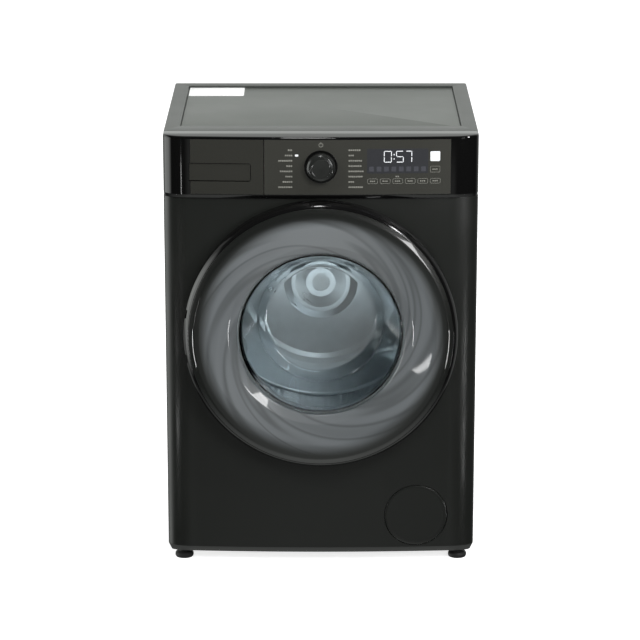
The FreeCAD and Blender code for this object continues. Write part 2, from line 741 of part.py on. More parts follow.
knuckle_half = dim.arm_low - 1
knuckle_barrel = rod(
    "knuckle_barrel", 8, knuckle_half * 2, (dim.hinge_x, dim.hinge_y, dim.door_z - knuckle_half), ALONG_Z
)
knuckle_foot = block(
    "knuckle_foot",
    (dim.hinge_x - 5, dim.hinge_y, dim.door_z - knuckle_half),
    (dim.hinge_x + 18, dim.door_back - 2.5, dim.door_z + knuckle_half),
)
knuckle_bore = rod("knuckle_bore", 4.05, 120, (dim.hinge_x, dim.hinge_y, dim.door_z - 60), ALONG_Z)
node(cut("door_knuckle", fused("knuckle_full", knuckle_barrel, knuckle_foot), knuckle_bore), "door_knuckle")
ARM_OUTLINE = [
    (-208, -237.5), (-208, -274), (-216, -284), (-233, -286), (-239, -282.5),
    (-239, -275.5), (-233, -272), (-219, -272), (-214, -266), (-214, -237.5),
]
hinge_arms = [
    padded(f"hinge_arm_{side}", "XY_Plane", ARM_OUTLINE, dim.arm_high - dim.arm_low, 0, 0, low)
    for side, low in (("upper", dim.door_z + dim.arm_low), ("lower", dim.door_z - dim.arm_high))
]
hinge_plate = block("hinge_plate", (-226, -237.5, dim.door_z - 60), (-197, -235, dim.door_z + 60))
hinge_pin = rod(
    "hinge_pin", 4, dim.arm_high * 2, (dim.hinge_x, dim.hinge_y, dim.door_z - dim.arm_high), ALONG_Z
)
node(fused("hinge_bracket", hinge_plate, *hinge_arms, hinge_pin), "hinge_bracket")

lock_blank = block("lock_blank", (197.5, -237.5, dim.door_z - 40), (234, -212, dim.door_z + 40))
lock_room = block("lock_room", (198.5, -240, dim.door_z - 11), (217, -216, dim.door_z + 11))
node(cut("door_lock", lock_blank, lock_room), "door_lock")
node(
    turned(
        "door_gasket",
        [
            (190, -249), (190, -246.4), (182.7, -246.4), (182.7, -234), (195.4, -228), (195.4, -208),
            (192.2, -208), (192.2, -224.5), (179.9, -230.5), (161, -224), (161, -227.5), (179.7, -236),
            (179.7, -249),
        ],
        0,
        dim.door_z,
    ),
    "door_gasket",
)

# ---------------------------------------------------------------- tub and what it carries
tub, skin, split = dim.tub_rad, dim.tub_rad + dim.tub_wall, dim.tub_split
node(
    turned(
        "tub_front",
        [
            (189, dim.tub_front_y - 16),
            (189, dim.tub_front_y + dim.tub_wall),
            (tub, dim.tub_front_y + dim.tub_wall),
            (tub, split),
            (skin + 9, split),
            (skin + 9, split - 6),
            (skin, split - 6),
            (skin, dim.tub_front_y),
            (192, dim.tub_front_y),
            (192, dim.tub_front_y - 16),
        ],
        0,
        dim.door_z,
    ),
    "tub_front",
)
rear = dim.tub_rear_y
HUB, SEAT, BORE = 45, 31, 28
tub_shell = turned(
    "tub_shell",
    [
        (tub, split),
        (tub, rear - 4),
        (HUB, rear - 4),
        (HUB, rear - 12),
        (SEAT, rear - 12),
        (SEAT, rear + 16),
        (BORE, rear + 16),
        (BORE, rear + 36),
        (SEAT, rear + 36),
        (SEAT, rear + 54),
        (HUB, rear + 54),
        (HUB, rear),
        (skin, rear),
        (skin, split + 6),
        (skin + 9, split + 6),
        (skin + 9, split),
    ],
    0,
    dim.door_z,
)
rib_parts = []
for number in range(6):
    rib = doc.addObject("Part::Box", f"tub_rib_{number}")
    rib.Length, rib.Width, rib.Height = 200, 16, 4
    angle = 60 * number + 15
    spin_turn = Rotation(Vector(0, 1, 0), angle)
    start = spin_turn.multVec(Vector(HUB - 4, 0, -2))
    place(rib, start.x, rear - 0.5, dim.door_z + start.z, spin_turn)
    rib_parts.append(rib)
TROUGH_LEFT, TROUGH_RIGHT, TROUGH_LOW = -85, 15, 186
trough = block("trough_blank", (TROUGH_LEFT, -30, TROUGH_LOW), (TROUGH_RIGHT, rear, 232))
trough_room = block(
    "trough_room", (TROUGH_LEFT + 3, -27, TROUGH_LOW + 3), (TROUGH_RIGHT - 3, rear - 4, 231)
)
tub_room = rod("tub_room", tub, rear - 4 - split, (0, split, dim.door_z))
trough_shell = cut("trough_shell", trough, tub_room)
drain_boss = rod("drain_boss", 15, 18, (-35, -5, TROUGH_LOW - 17), ALONG_Z)
drain_bore = rod("drain_bore", 12, 40, (-35, -5, TROUGH_LOW - 25), ALONG_Z)
ears, lugs = [], []
for side in (-1, 1):
    x, y = dim.spring_x * side, dim.spring_y
    ears.append(block(f"spring_ear_{side}", (x - 11, y - 6, 606), (x + 11, y + 6, 651)))
    x, y = dim.damper_x * side, dim.damper_y
    lugs.append(block(f"damper_lug_{side}", (x - 10, y - 8, 244), (x + 10, y + 8, 262)))
motor_saddle = block(
    "motor_saddle", (dim.motor_x - 12, 60, dim.motor_z + dim.motor_rad - 1), (dim.motor_x + 12, 150, 234)
)
motor_space = rod("motor_space", dim.motor_rad, 180, (dim.motor_x, 30, dim.motor_z))
tub_added = fused("tub_added", tub_shell, *rib_parts, trough_shell, drain_boss, *ears, *lugs, motor_saddle)
hub_bore = rod("hub_bore", BORE, 100, (0, rear - 20, dim.door_z))
HEATER_LEGS = (-65, -5)
heater_holes = [rod(f"heater_hole_{x}", 4.2, 20, (x, 140, 200)) for x in HEATER_LEGS]
node(cut("tub_rear", tub_added, trough_room, drain_bore, motor_space, hub_bore, *heater_holes), "tub_rear")

weight_outline = [(206, -236), (206, -206.3), (255, -206.3), (255, -236)]
weights = [
    turned(f"counterweight_{where}", weight_outline, 0, dim.door_z, 116, Rotation(Vector(0, 1, 0), start))
    for where, start in (("upper", -148), ("lower", 32))
]
node(fused("counterweights", *weights), "counterweights")

leg_left, leg_right = HEATER_LEGS
heater_route = [(leg_left, 160, 200), (leg_left, -14, 200), (leg_right, -14, 200), (leg_right, 160, 200)]
heater_loop = pipe("heater_loop", heater_route, 4, 2.5)
heater_flange = block("heater_flange", (-76, rear, 190), (6, rear + 4, 212))
heater_tabs = [
    block(f"heater_tab_{x}", (x - 3, rear + 4, 199), (x + 3, rear + 16, 201)) for x in HEATER_LEGS
]
node(fused("heater", heater_loop, heater_flange, *heater_tabs), "heater")

seal_ring = turned(
    "seal_ring", [(15.05, rear - 12), (SEAT, rear - 12), (SEAT, rear - 1), (15.05, rear - 1)], 0, dim.door_z
)
bearing_parts = [
    turned(
        f"bearing_{where}",
        [(15, start), (SEAT, start), (SEAT, start + 16), (15, start + 16)],
        0,
        dim.door_z,
    )
    for where, start in (("inner", rear), ("outer", rear + 37))
]
node(fused("bearing_set", seal_ring, *bearing_parts), "bearing_set")

motor_shell = rod("motor_shell", dim.motor_rad, 150, (dim.motor_x, 40, dim.motor_z))
motor_bore = rod("motor_bore", 8, 20, (dim.motor_x, 175, dim.motor_z))
motor_slots = []
for number in range(12):
    angle = math.radians(30 * number)
    spot_x = dim.motor_x + 36 * math.cos(angle)
    spot_z = dim.motor_z + 36 * math.sin(angle)
    motor_slots.append(rod(f"motor_vent_{number}", 5, 12, (spot_x, 182, spot_z)))
node(cut("motor", motor_shell, motor_bore, *motor_slots), "motor")
motor_shaft = rod("motor_shaft", 6, 60, (dim.motor_x, 176, dim.motor_z))
motor_wheel = rod(
    "motor_wheel",
    dim.motor_pulley_rad,
    dim.belt_rear - dim.belt_front + 4,
    (dim.motor_x, dim.belt_front - 2, dim.motor_z),
)
node(fused("motor_pulley", motor_shaft, motor_wheel), "motor_pulley")


def belt_loop(big, small, low_y, high_y):
    """Band round the two pulleys: the difference of two tangent loops."""
    top = Vector(0, low_y, float(dim.door_z))
    foot = Vector(float(dim.motor_x), low_y, float(dim.motor_z))
    reach = foot - top
    along = Vector(reach).normalize()
    across = Vector(0, 1, 0).cross(along)
    lean = math.asin((big - small) / reach.Length)
    loop = []
    for side in (1, -1):
        tangent = across * (side * math.cos(lean)) + along * math.sin(lean)
        loop.append((top + tangent * big, foot + tangent * small))
    edges = [
        Part.makeLine(loop[0][0], loop[0][1]),
        Part.Arc(loop[0][1], foot + along * small, loop[1][1]).toShape(),
        Part.makeLine(loop[1][1], loop[1][0]),
        Part.Arc(loop[1][0], top - along * big, loop[0][0]).toShape(),
    ]
    return Part.Face(Part.Wire(edges)).extrude(Vector(0, high_y - low_y, 0))


belt_gap, belt_thick = 0.3, float(dim.belt_thick)
big_run, small_run = float(dim.pulley_rad) + belt_gap, float(dim.motor_pulley_rad) + belt_gap
belt_span = (float(dim.belt_front), float(dim.belt_rear))
belt_shape = belt_loop(big_run + belt_thick, small_run + belt_thick, *belt_span).cut(
    belt_loop(big_run, small_run, belt_span[0] - 1, belt_span[1] + 1)
)
node(solid("drive_belt", belt_shape), "drive_belt")

spring_tubes, damper_tubes, damper_bars = [], [], []
for side in (-1, 1):
    spring_at = (dim.spring_x * side, dim.spring_y, 652)
    coil = rod(f"spring_coil_{side}", 11, 147, spring_at, ALONG_Z)
    hollow = rod(f"spring_hollow_{side}", 8.5, 147, spring_at, ALONG_Z)
    spring_tubes.append(cut(f"spring_{side}", coil, hollow))
    damper_at = (dim.damper_x * side, dim.damper_y, 46)
    tube = rod(f"damper_tube_{side}", 16, 124, damper_at, ALONG_Z)
    tube_bore = rod(f"damper_bore_{side}", 6.6, 124, (dim.damper_x * side, dim.damper_y, 50), ALONG_Z)
    damper_tubes.append(cut(f"damper_{side}", tube, tube_bore))
    damper_bars.append(rod(f"damper_bar_{side}", 6, 134, (dim.damper_x * side, dim.damper_y, 110), ALONG_Z))
node(fused("suspension_springs", *spring_tubes), "suspension_springs")
node(fused("damper_cylinders", *damper_tubes), "damper_cylinders")
node(fused("damper_rods", *damper_bars), "damper_rods")

# ---------------------------------------------------------------- drum
drum, sheet_in = dim.drum_rad, dim.drum_rad - dim.drum_gauge
drum_low, drum_high = dim.drum_front_y, dim.drum_rear_y
node(
    turned(
        "drum_shell",
        [
            (185, drum_low + 12),
            (185 + 1.2, drum_low + 12),
            (185 + 1.2, drum_low + 5),
            (190, drum_low + 1.2),
            (drum - 7, drum_low + 3.2),
            (sheet_in, drum_low + 11),
            (sheet_in, drum_high - 1.2),
            (18, drum_high - 1.2),
            (18, drum_high),
            (drum, drum_high),
            (drum, drum_low + 10),
            (drum - 6, drum_low + 2),
            (190, drum_low),
            (185, drum_low + 5),
        ],
        0,
        dim.door_z,
    ),
    "drum_shell",
)
lifter_outline = [(-37, 238), (-33, 222), (-17, 182), (-8, 176), (8, 176), (17, 182), (33, 222), (37, 238)]
LIFTER_ANGLES = (0, 120, 240)
lifters = []
for angle in LIFTER_ANGLES:
    spin_turn = Rotation(Vector(0, 1, 0), angle)
    ridge = padded(f"lifter_{angle}", "XZ_Plane", lifter_outline, 270, 0, 108, dim.door_z, spin_turn)
    lifters.append(ridge)
node(fused("drum_lifters", *lifters), "drum_lifters")
arms = []
for angle in LIFTER_ANGLES:
    spin_turn = Rotation(Vector(0, 1, 0), angle + 60)
    start = spin_turn.multVec(Vector(-20, 0, 0))
    arm = doc.addObject("Part::Box", f"spider_arm_{angle}")
    arm.Length, arm.Width, arm.Height = 40, 10.5, 232
    place(arm, start.x, drum_high + 0.3, dim.door_z + start.z, spin_turn)
    arms.append(arm)
spider_hub = rod("spider_hub", 40, 11, (0, drum_high + 0.3, dim.door_z))
drum_shaft = rod("drum_shaft", dim.shaft_rad, 106, (0, drum_high + 0.3, dim.door_z))
node(fused("drum_spider", *arms, spider_hub, drum_shaft), "drum_spider")
pulley_y, pulley_end = dim.belt_front - 1, dim.belt_rear + 1
pulley_blank = turned(
    "pulley_blank",
    [
        (dim.shaft_rad, pulley_y), (28, pulley_y), (28, pulley_y + 5), (128, pulley_y + 5), (128, pulley_y),
        (dim.pulley_rad, pulley_y), (dim.pulley_rad, pulley_end), (128, pulley_end), (128, pulley_y + 9),
        (28, pulley_y + 9), (28, pulley_end), (dim.shaft_rad, pulley_end),
    ],
    0,
    dim.door_z,
)
pulley_windows = []
for number in range(6):
    angle = math.radians(60 * number)
    spot = (79 * math.sin(angle), pulley_y - 5, dim.door_z + 79 * math.cos(angle))
    pulley_windows.append(rod(f"pulley_window_{number}", 34, 40, spot))
node(cut("drum_pulley", pulley_blank, *pulley_windows), "drum_pulley")
bolt_washer = rod("bolt_washer", 20, 2, (0, 234.3, dim.door_z))
bolt_head = doc.addObject("Part::Prism", "bolt_head")
bolt_head.Polygon = 6
bolt_head.Circumradius = 10
bolt_head.Height = 7
place(bolt_head, 0, 236.3, dim.door_z, ALONG_Y)
node(fused("pulley_bolt", bolt_washer, bolt_head), "pulley_bolt")

# ---------------------------------------------------------------- water, drain and electrics
cup_blank = turned(
    "cup_blank",
    [
        (64, -236), (66, -236), (66, -198), (37, -198), (37, -125), (34, -125), (34, -200), (64, -200),
    ],
    dim.filter_x,
    dim.filter_z,
)
node(cup_blank, "filter_housing")
cap_turned = turned(
    "cap_turned",
    [(0, -216), (33.4, -216), (33.4, -196), (24, -196), (24, -140), (21, -140), (21, -200), (0, -200)],
    dim.filter_x,
    dim.filter_z,
)
x, z = dim.filter_x, dim.filter_z
cap_grip = block("cap_grip", (x - 4, -227, z - 26), (x + 4, -216, z + 26))
node(fused("filter_cap", cap_turned, cap_grip), "filter_cap")
cover_skin = solid(
    "cover_skin",
    front_solid(0, 0, panel_back, 30, 170).cut(front_solid(-2.5, 0, panel_back + 1, 29, 171)),
)
cover_form = rod("cover_form", dim.cover_rad, 60, (dim.filter_x, -255, dim.filter_z))
cover_disc = shared("cover_disc", cover_skin, cover_form)
clip_room = solid("clip_room", front_solid(-1, 0, panel_back, 60, 130))
cover_clips = []
for side, start in (("left", -53), ("right", 50)):
    clip = block(f"cover_clip_{side}_blank", (x + start, -243, z - 6), (x + start + 3, -228, z + 6))
    cover_clips.append(shared(f"cover_clip_{side}", clip, clip_room))
node(fused("filter_cover", cover_disc, *cover_clips), "filter_cover")

pump_body = rod("pump_body", 37, 46, (dim.filter_x, -124.5, dim.filter_z))
pump_coil = block("pump_coil", (x - 24, -79, z - 26), (x + 24, -38, z + 26))
pump_spout = rod("pump_spout", 9, 22, (dim.filter_x, -100, dim.filter_z + 34), ALONG_Z)
node(fused("drain_pump", pump_body, pump_coil, pump_spout), "drain_pump")
sump_route = [(-35, -5, 168.8), (-35, -5, 100), (50, -160, 97), (147.8, -160, 97)]
node(pipe("sump_hose", sump_route, 17, 15.2), "sump_hose")
drain_route = [(185, -100, 153.3), (185, -100, 215), (268, 60, 215), (200, 190, 120), (200, 265, 120)]
node(pipe("drain_hose", drain_route, 10, 8), "drain_hose")
spigot = rod("outlet_spigot", 10.5, 25.5, (dim.outlet_x, 266, dim.outlet_z))
spigot_flange = rod("outlet_flange", 20, 3, (dim.outlet_x, 280, dim.outlet_z))
spigot_bore = rod("outlet_bore", 8, 40, (dim.outlet_x, 260, dim.outlet_z))
node(cut("drain_outlet", fused("outlet_full", spigot, spigot_flange), spigot_bore), "drain_outlet")

x, z = dim.inlet_x, dim.inlet_z
valve_body = block("valve_body", (x - 22, 240, z - 20), (x + 22, 278, z + 20))
valve_spigot = rod("valve_spigot", 13.2, 14, (x, 277.9, z))
valve_bore = rod("valve_bore", 9, 24, (x, 270, z))
valve_coil = rod("valve_coil", 14, 34, (x, 259, z - 54), ALONG_Z)
valve_spout = rod("valve_spout", 7, 20, (x, 221, z + 5))
valve_full = fused("valve_full", valve_body, valve_spigot, valve_coil, valve_spout)
node(cut("inlet_valve", valve_full, valve_bore), "inlet_valve")
inlet_route = [(-200, 220.8, 780), (-200, 160, 780), (-160, 90, 795), (-200, 55, 790), (-200, 6.2, 790)]
inlet_hose = pipe("inlet_hose", inlet_route, 8, 6.2)
bellows_out = rod("bellows_out", 24, 34, (-175, -60, 687.5), ALONG_Z)
bellows_bore = rod("bellows_bore", 20.2, 50, (-175, -60, 680), ALONG_Z)
node(fused("dispenser_hoses", inlet_hose, cut("bellows", bellows_out, bellows_bore)), "dispenser_hoses")
box_blank = block("box_blank", (115, 110, 745), (275, 265, 812))
box_room = block("box_room", (117, 112, 747), (273, 263, 810))
box_vents = []
for number in range(9):
    vent_y = 130 + 14 * number
    box_vents.append(block(f"box_vent_{number}", (125, vent_y, 809), (265, vent_y + 4, 813)))
node(cut("electronics_box", box_blank, box_room, *box_vents), "electronics_box")
gland_out = rod("gland_out", 12, 8, (-200, dim.rear_y, 690))
gland_neck = rod("gland_neck", 8.8, 12, (-200, 274, 690))
gland_bore = rod("gland_bore", 3.6, 40, (-200, 265, 690))
node(cut("cord_gland", fused("gland_full", gland_out, gland_neck), gland_bore), "cord_gland")
cap_parts = []
for number, (x, z) in enumerate(TRANSIT_HOLES):
    cap_parts.append(rod(f"transit_cap_{number}", 15, 3, (x, dim.rear_y, z)))
    cap_parts.append(rod(f"transit_plug_{number}", 10.8, 8, (x, 276, z)))
node(fused("transit_hole_caps", *cap_parts), "transit_hole_caps")
SCREW_SPOTS = [(x, z) for x in (-290, 290) for z in (60, 240, 425, 610, 800)]
SCREW_SPOTS += [(x, z) for x in (-158.5, 158.5) for z in (150, 390, 630)]
screw_parts = []
for number, (x, z) in enumerate(SCREW_SPOTS):
    head_y = dim.rear_y if abs(x) > 200 else dim.rear_y + 1
    screw_parts.append(rod(f"case_screw_{number}", 4.5, 2, (x, head_y, z)))
node(fused("case_screws", *screw_parts), "case_screws")

# ---------------------------------------------------------------- levelling feet
for place_name, (x, y) in FEET.items():
    pad_outline = [
        (0, 0), (dim.foot_rad - 2, 0), (dim.foot_rad, 3), (dim.foot_rad - 1, 9), (9, 12), (dim.stud_rad, 12),
        (dim.stud_rad, 40), (0, 40),
    ]
    node(upright(f"foot_{place_name}", pad_outline, x, y), f"foot_{place_name}")

doc.recompute()
failed = [item.Name for item in doc.Objects if {"Invalid", "Error"} & set(item.State)]
for piece in nodes:
    shape = piece.Shape
    if shape.isNull() or not shape.isValid() or not shape.Solids:
        failed.append(piece.Label)
if failed:
    raise RuntimeError(f"failed objects: {failed}")
os.makedirs("parts", exist_ok=True)
for piece in nodes:
    piece.Shape.exportStep(f"parts/{piece.Label}.step")
print(len(nodes), "sub-parts written")
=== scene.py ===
"""Looks of a front load washing machine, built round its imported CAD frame.

Metres, +Z up. X runs to the right as seen from the front, Y runs into the machine, and the front faces -Y.
"""

import json
from math import ceil, cos, dist, pi, radians, sin, sqrt, tan

import bmesh
import bpy
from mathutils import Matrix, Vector


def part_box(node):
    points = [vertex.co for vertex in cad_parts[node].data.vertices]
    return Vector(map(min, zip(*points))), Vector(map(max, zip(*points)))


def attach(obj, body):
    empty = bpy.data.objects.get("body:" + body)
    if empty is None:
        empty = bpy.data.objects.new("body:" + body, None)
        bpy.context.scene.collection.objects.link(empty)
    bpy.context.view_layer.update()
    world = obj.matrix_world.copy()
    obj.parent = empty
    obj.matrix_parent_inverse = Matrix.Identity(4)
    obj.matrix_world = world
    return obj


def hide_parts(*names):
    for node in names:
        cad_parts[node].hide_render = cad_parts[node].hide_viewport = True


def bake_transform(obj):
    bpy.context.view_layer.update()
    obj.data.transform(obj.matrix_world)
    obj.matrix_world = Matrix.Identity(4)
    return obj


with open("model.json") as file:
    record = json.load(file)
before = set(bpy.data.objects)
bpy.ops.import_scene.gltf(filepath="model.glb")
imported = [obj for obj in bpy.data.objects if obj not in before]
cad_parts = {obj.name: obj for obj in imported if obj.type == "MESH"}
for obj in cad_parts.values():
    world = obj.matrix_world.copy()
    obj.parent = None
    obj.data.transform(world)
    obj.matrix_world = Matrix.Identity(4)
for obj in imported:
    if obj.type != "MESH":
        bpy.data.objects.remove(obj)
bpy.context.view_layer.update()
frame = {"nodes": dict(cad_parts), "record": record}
scene = bpy.context.scene


def middle(low, high):
    return (low.x + high.x) / 2, (low.y + high.y) / 2, (low.z + high.z) / 2


# ---------------- driving sizes
panel_low, panel_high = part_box("front_panel")
fascia_low, fascia_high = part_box("control_fascia")
overlay_low, overlay_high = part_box("control_overlay")
worktop_low, worktop_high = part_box("worktop_frame")
board_low, board_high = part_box("worktop_board")
ring_low, ring_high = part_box("door_outer_ring")
drum_low, drum_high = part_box("drum_shell")
knob_low, knob_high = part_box("programme_knob")
filter_low, filter_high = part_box("filter_cover")
drawer_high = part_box("drawer_front")[1]

CASE_HALF = panel_high.x
FACE_Y, REAR_Y = panel_low.y, worktop_high.y
PANEL_TOP, PANEL_FOOT = panel_high.z, panel_low.z
GAUGE = 0.001
BEVEL_TALL, BEVEL_DEEP, BEVEL_IN = 0.013, 0.01, 0.006
PORTHOLE_RAD = 0.183
HINGE_SLOTS = ((0.036, 0.052), (-0.052, -0.036))

BOW_HALF, BOW_SAG, CORNER_DEEP = 0.2455, 0.008, 0.024
BOW_RADIUS = (BOW_HALF**2 + BOW_SAG**2) / (2 * BOW_SAG)
BOW_STEPS, CORNER_STEPS = 72, 16
AROUND = 192

FILTER_X, FILTER_Z = middle(filter_low, filter_high)[::2]
FILTER_RAD = (filter_high.z - filter_low.z) / 2
FILTER_GAP = 0.0012

PROUD = FACE_Y - fascia_low.y
FASCIA_FOOT, FASCIA_TOP, FASCIA_BACK = fascia_low.z, fascia_high.z, fascia_high.y
FASCIA_WALL, LIP_TALL = 0.003, 0.0065
SEAM_X, SEAM_HALF = drawer_high.x + 0.0004, 0.0004
DRAWER_TOP = drawer_high.z
ROOF_LOW = DRAWER_TOP + 0.0005
GRIP_RIGHT, GRIP_LOW, GRIP_HIGH, GRIP_DEEP = -0.1314, 0.764, 0.799, 0.0052
FACE_LOW, FACE_HIGH = overlay_low.z, overlay_high.z
KNOB_Z = middle(knob_low, knob_high)[2]
KNOB_RAD = (knob_high.z - knob_low.z) / 2

DOOR_Z = middle(ring_low, ring_high)[2]
DOOR_RAD = (ring_high.z - ring_low.z) / 2
DOOR_FRONT, DOOR_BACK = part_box("door_cover")[0].y, ring_high.y
WINDOW_RAD = 0.16
DRUM_RAD = (drum_high.z - drum_low.z) / 2
DRUM_FRONT, DRUM_REAR = drum_low.y, drum_high.y
DRUM_GAUGE = 0.0012
HOLE_PITCH, HOLE_RAD = 0.0127, 0.0021


# ---------------- material nodes
def put(tree, socket, value):
    """Set a socket to a plain value, or link another socket to it. Three numbers make an opaque colour."""
    if isinstance(value, bpy.types.NodeSocket):
        tree.links.new(value, socket)
    elif socket.type == "RGBA":
        socket.default_value = (*value[:3], 1)
    else:
        socket.default_value = value


def node(tree, kind, inputs=None, **settings):
    """A new shader node; inputs go by name or number."""
    made = tree.nodes.new("ShaderNode" + kind)
    for name, value in settings.items():
        setattr(made, name, value)
    for key, value in (inputs or {}).items():
        put(tree, made.inputs[key], value)
    return made


def calc(tree, operation, *terms):
    return node(tree, "Math", dict(enumerate(terms)), operation=operation).outputs[0]


def times(tree, first, *others):
    for other in others:
        first = calc(tree, "MULTIPLY", first, other)
    return first


def plus(tree, first, *others):
    for other in others:
        first = calc(tree, "ADD", first, other)
    return first


def position(tree):
    """The surface point in the frame's own axes."""
    return node(tree, "TexCoord").outputs["Object"]


def axes(tree):
    return node(tree, "SeparateXYZ", {0: position(tree)}).outputs


def noise(tree, scale, detail=4.0, stretch=(1, 1, 1), vector=None):
    """Noise over the surface; stretch above 1 squeezes the grain along that axis."""
    mapping = node(tree, "Mapping", {"Scale": stretch, "Vector": vector or position(tree)})
    inputs = {"Scale": scale, "Detail": detail, "Vector": mapping.outputs[0]}
    return node(tree, "TexNoise", inputs).outputs["Fac"]


def spread(tree, value, from_low, from_high, to_low, to_high, ease="LINEAR"):
    """Carry a value from one range to another."""
    inputs = {
        "Value": value, "From Min": from_low, "From Max": from_high, "To Min": to_low, "To Max": to_high,
    }
    return node(tree, "MapRange", inputs, interpolation_type=ease).outputs["Result"]


def blend_colours(tree, factor, first, second):
    return node(tree, "Mix", {"Factor": factor, 6: first, 7: second}, data_type="RGBA").outputs[2]


def relief(tree, shader, height, distance, strength=1.0):
    bump = node(tree, "Bump", {"Distance": distance, "Strength": strength, "Height": height})
    put(tree, shader.inputs["Normal"], bump.outputs[0])


def choose_shader(tree, factor, first, second):
    return node(tree, "MixShader", {0: factor, 1: first, 2: second}).outputs[0]


def new_material(name, **sockets):
    """Material with a Principled shader; keywords set its plain sockets."""
    material = bpy.data.materials.new(name)
    material.use_nodes = True
    tree = material.node_tree
    shader = tree.nodes["Principled BSDF"]
    for socket, value in sockets.items():
        put(tree, shader.inputs[socket.replace("_", " ")], value)
    return material, tree, shader


def dress(tree, shader, colour, rough, height, depth):
    """Wire a surface's colour and roughness, and its relief of the given depth."""
    put(tree, shader.inputs["Base Color"], colour)
    put(tree, shader.inputs["Roughness"], rough)
    relief(tree, shader, height, depth)


def shade_of(colour, factor):
    return tuple(min(1.0, channel * factor) for channel in colour)


def grained(name, colour, rough, grain=900, colour_play=0.12, rough_play=0.06, depth=0.00002, **sockets):
    """Painted or moulded surface with fine grain, soft cloudiness and a little uneven gloss."""
    material, tree, shader = new_material(name, **sockets)
    fine, cloud = noise(tree, grain, 2), noise(tree, 9, 3)
    mixed = plus(tree, times(tree, fine, 0.5), times(tree, cloud, 0.5))
    low, high = shade_of(colour, 1 - colour_play), shade_of(colour, 1 + colour_play)
    uneven = spread(tree, cloud, 0.3, 0.7, max(0.02, rough - rough_play), rough + rough_play)
    dress(tree, shader, blend_colours(tree, mixed, low, high), uneven, fine, depth)
    return material


def brushed(name, colour, rough, stretch=(1, 40, 1), grain=60):
    """Metal drawn, rolled or turned along one axis."""
    material, tree, shader = new_material(name, Metallic=1.0)
    lines, cloud = noise(tree, grain, 3, stretch), noise(tree, 14, 2)
    tint = blend_colours(tree, lines, shade_of(colour, 0.86), shade_of(colour, 1.1))
    uneven = plus(tree, times(tree, lines, 0.12), times(tree, cloud, 0.1), rough - 0.1)
    dress(tree, shader, tint, uneven, lines, 0.00001)
    return material


def galvanised_steel():
    """Zinc sheet with its large soft crystals."""
    material, tree, shader = new_material("galvanised", Metallic=1.0)
    cells = node(tree, "TexVoronoi", {"Scale": 120, "Vector": position(tree)})
    crystal = node(tree, "SeparateColor", {0: cells.outputs["Color"]}).outputs
    tint = blend_colours(tree, crystal[0], (0.42, 0.43, 0.44), (0.58, 0.59, 0.6))
    dress(tree, shader, tint, spread(tree, crystal[1], 0, 1, 0.32, 0.48), noise(tree, 300, 2), 0.00001)
    return material


def circuit_board():
    """Green laminate with fine tracks."""
    material, tree, shader = new_material("circuit", Coat_Weight=0.4)
    across = axes(tree)
    inputs = {
        "Scale": 90, "Color1": (0.01, 0.11, 0.04), "Color2": (0.015, 0.14, 0.05),
        "Mortar": (0.04, 0.24, 0.09),
        "Vector": node(tree, "CombineXYZ", {0: across[0], 1: across[2]}).outputs[0],
    }
    tracks = node(tree, "TexBrick", inputs).outputs
    rough = spread(tree, noise(tree, 60), 0, 1, 0.25, 0.45)
    dress(tree, shader, tracks["Color"], rough, tracks["Fac"], 0.00003)
    return material


def window_glass():
    """Pressed glass: it bends what is seen through it and lets lamp light pass."""
    material, tree, shader = new_material(
        "door_glass", IOR=1.5, Transmission_Weight=1.0, Roughness=0.0, Base_Color=(0.82, 0.9, 0.92)
    )
    waves = noise(tree, 14, 2)
    relief(tree, shader, waves, 0.0004, 0.5)
    tint = blend_colours(tree, waves, (0.78, 0.87, 0.9), (0.86, 0.93, 0.95))
    put(tree, shader.inputs["Base Color"], tint)
    passing = node(tree, "BsdfTransparent", {0: (0.8, 0.87, 0.89)}).outputs[0]
    ray = node(tree, "LightPath").outputs
    both = choose_shader(tree, ray["Is Shadow Ray"], shader.outputs[0], passing)
    put(tree, tree.nodes["Material Output"].inputs["Surface"], both)
    return material


SWIRL_FULL, SWIRL_END = 0.208, 0.237
SWIRL_WIND = 21.0


def printed_swirl():
    """Dark cover with a smoky spiral band printed behind its gloss surface, the band painted lighter towards
    the top as painted light.
    """
    material, tree, shader = new_material(
        "door_cover", Roughness=0.34, Coat_Weight=1.0, Coat_Roughness=0.04, IOR=1.45
    )
    x, y, z = axes(tree)
    height = calc(tree, "SUBTRACT", z, DOOR_Z)
    radius = calc(tree, "SQRT", plus(tree, times(tree, x, x), times(tree, height, height)))
    phase = calc(tree, "SUBTRACT", calc(tree, "ARCTAN2", height, x), times(tree, radius, SWIRL_WIND))
    wound = {0: calc(tree, "COSINE", phase), 1: calc(tree, "SINE", phase), 2: times(tree, radius, 5.0)}
    ray = node(tree, "CombineXYZ", wound).outputs[0]
    broad, fine = noise(tree, 2.0, 1, vector=ray), noise(tree, 2.3, 0, vector=ray)
    offset = calc(tree, "ABSOLUTE", calc(tree, "SUBTRACT", fine, 0.5))
    line = spread(tree, offset, 0.0, 0.13, 0.66, 1.0, "SMOOTHSTEP")
    # Painted light: the print is brighter at the top and darker at the bottom, standing in for how the lamps
    # fall on the cover.
    painted_top_light = spread(tree, height, -0.22, 0.22, 0.68, 1.12)
    print_and_painted_light = times(tree, spread(tree, broad, 0.3, 0.7, 0.84, 1.04), line, painted_top_light)
    shift = times(tree, calc(tree, "SUBTRACT", broad, 0.5), 0.012)
    reach = calc(tree, "SUBTRACT", radius, shift)
    fade = spread(tree, reach, SWIRL_FULL, SWIRL_END, 1.0, 0.0, "SMOOTHSTEP")
    colour = blend_colours(tree, times(tree, fade, print_and_painted_light), (0.009, 0.01, 0.009), (0.158, 0.172, 0.18))
    put(tree, shader.inputs["Base Color"], colour)
    return material


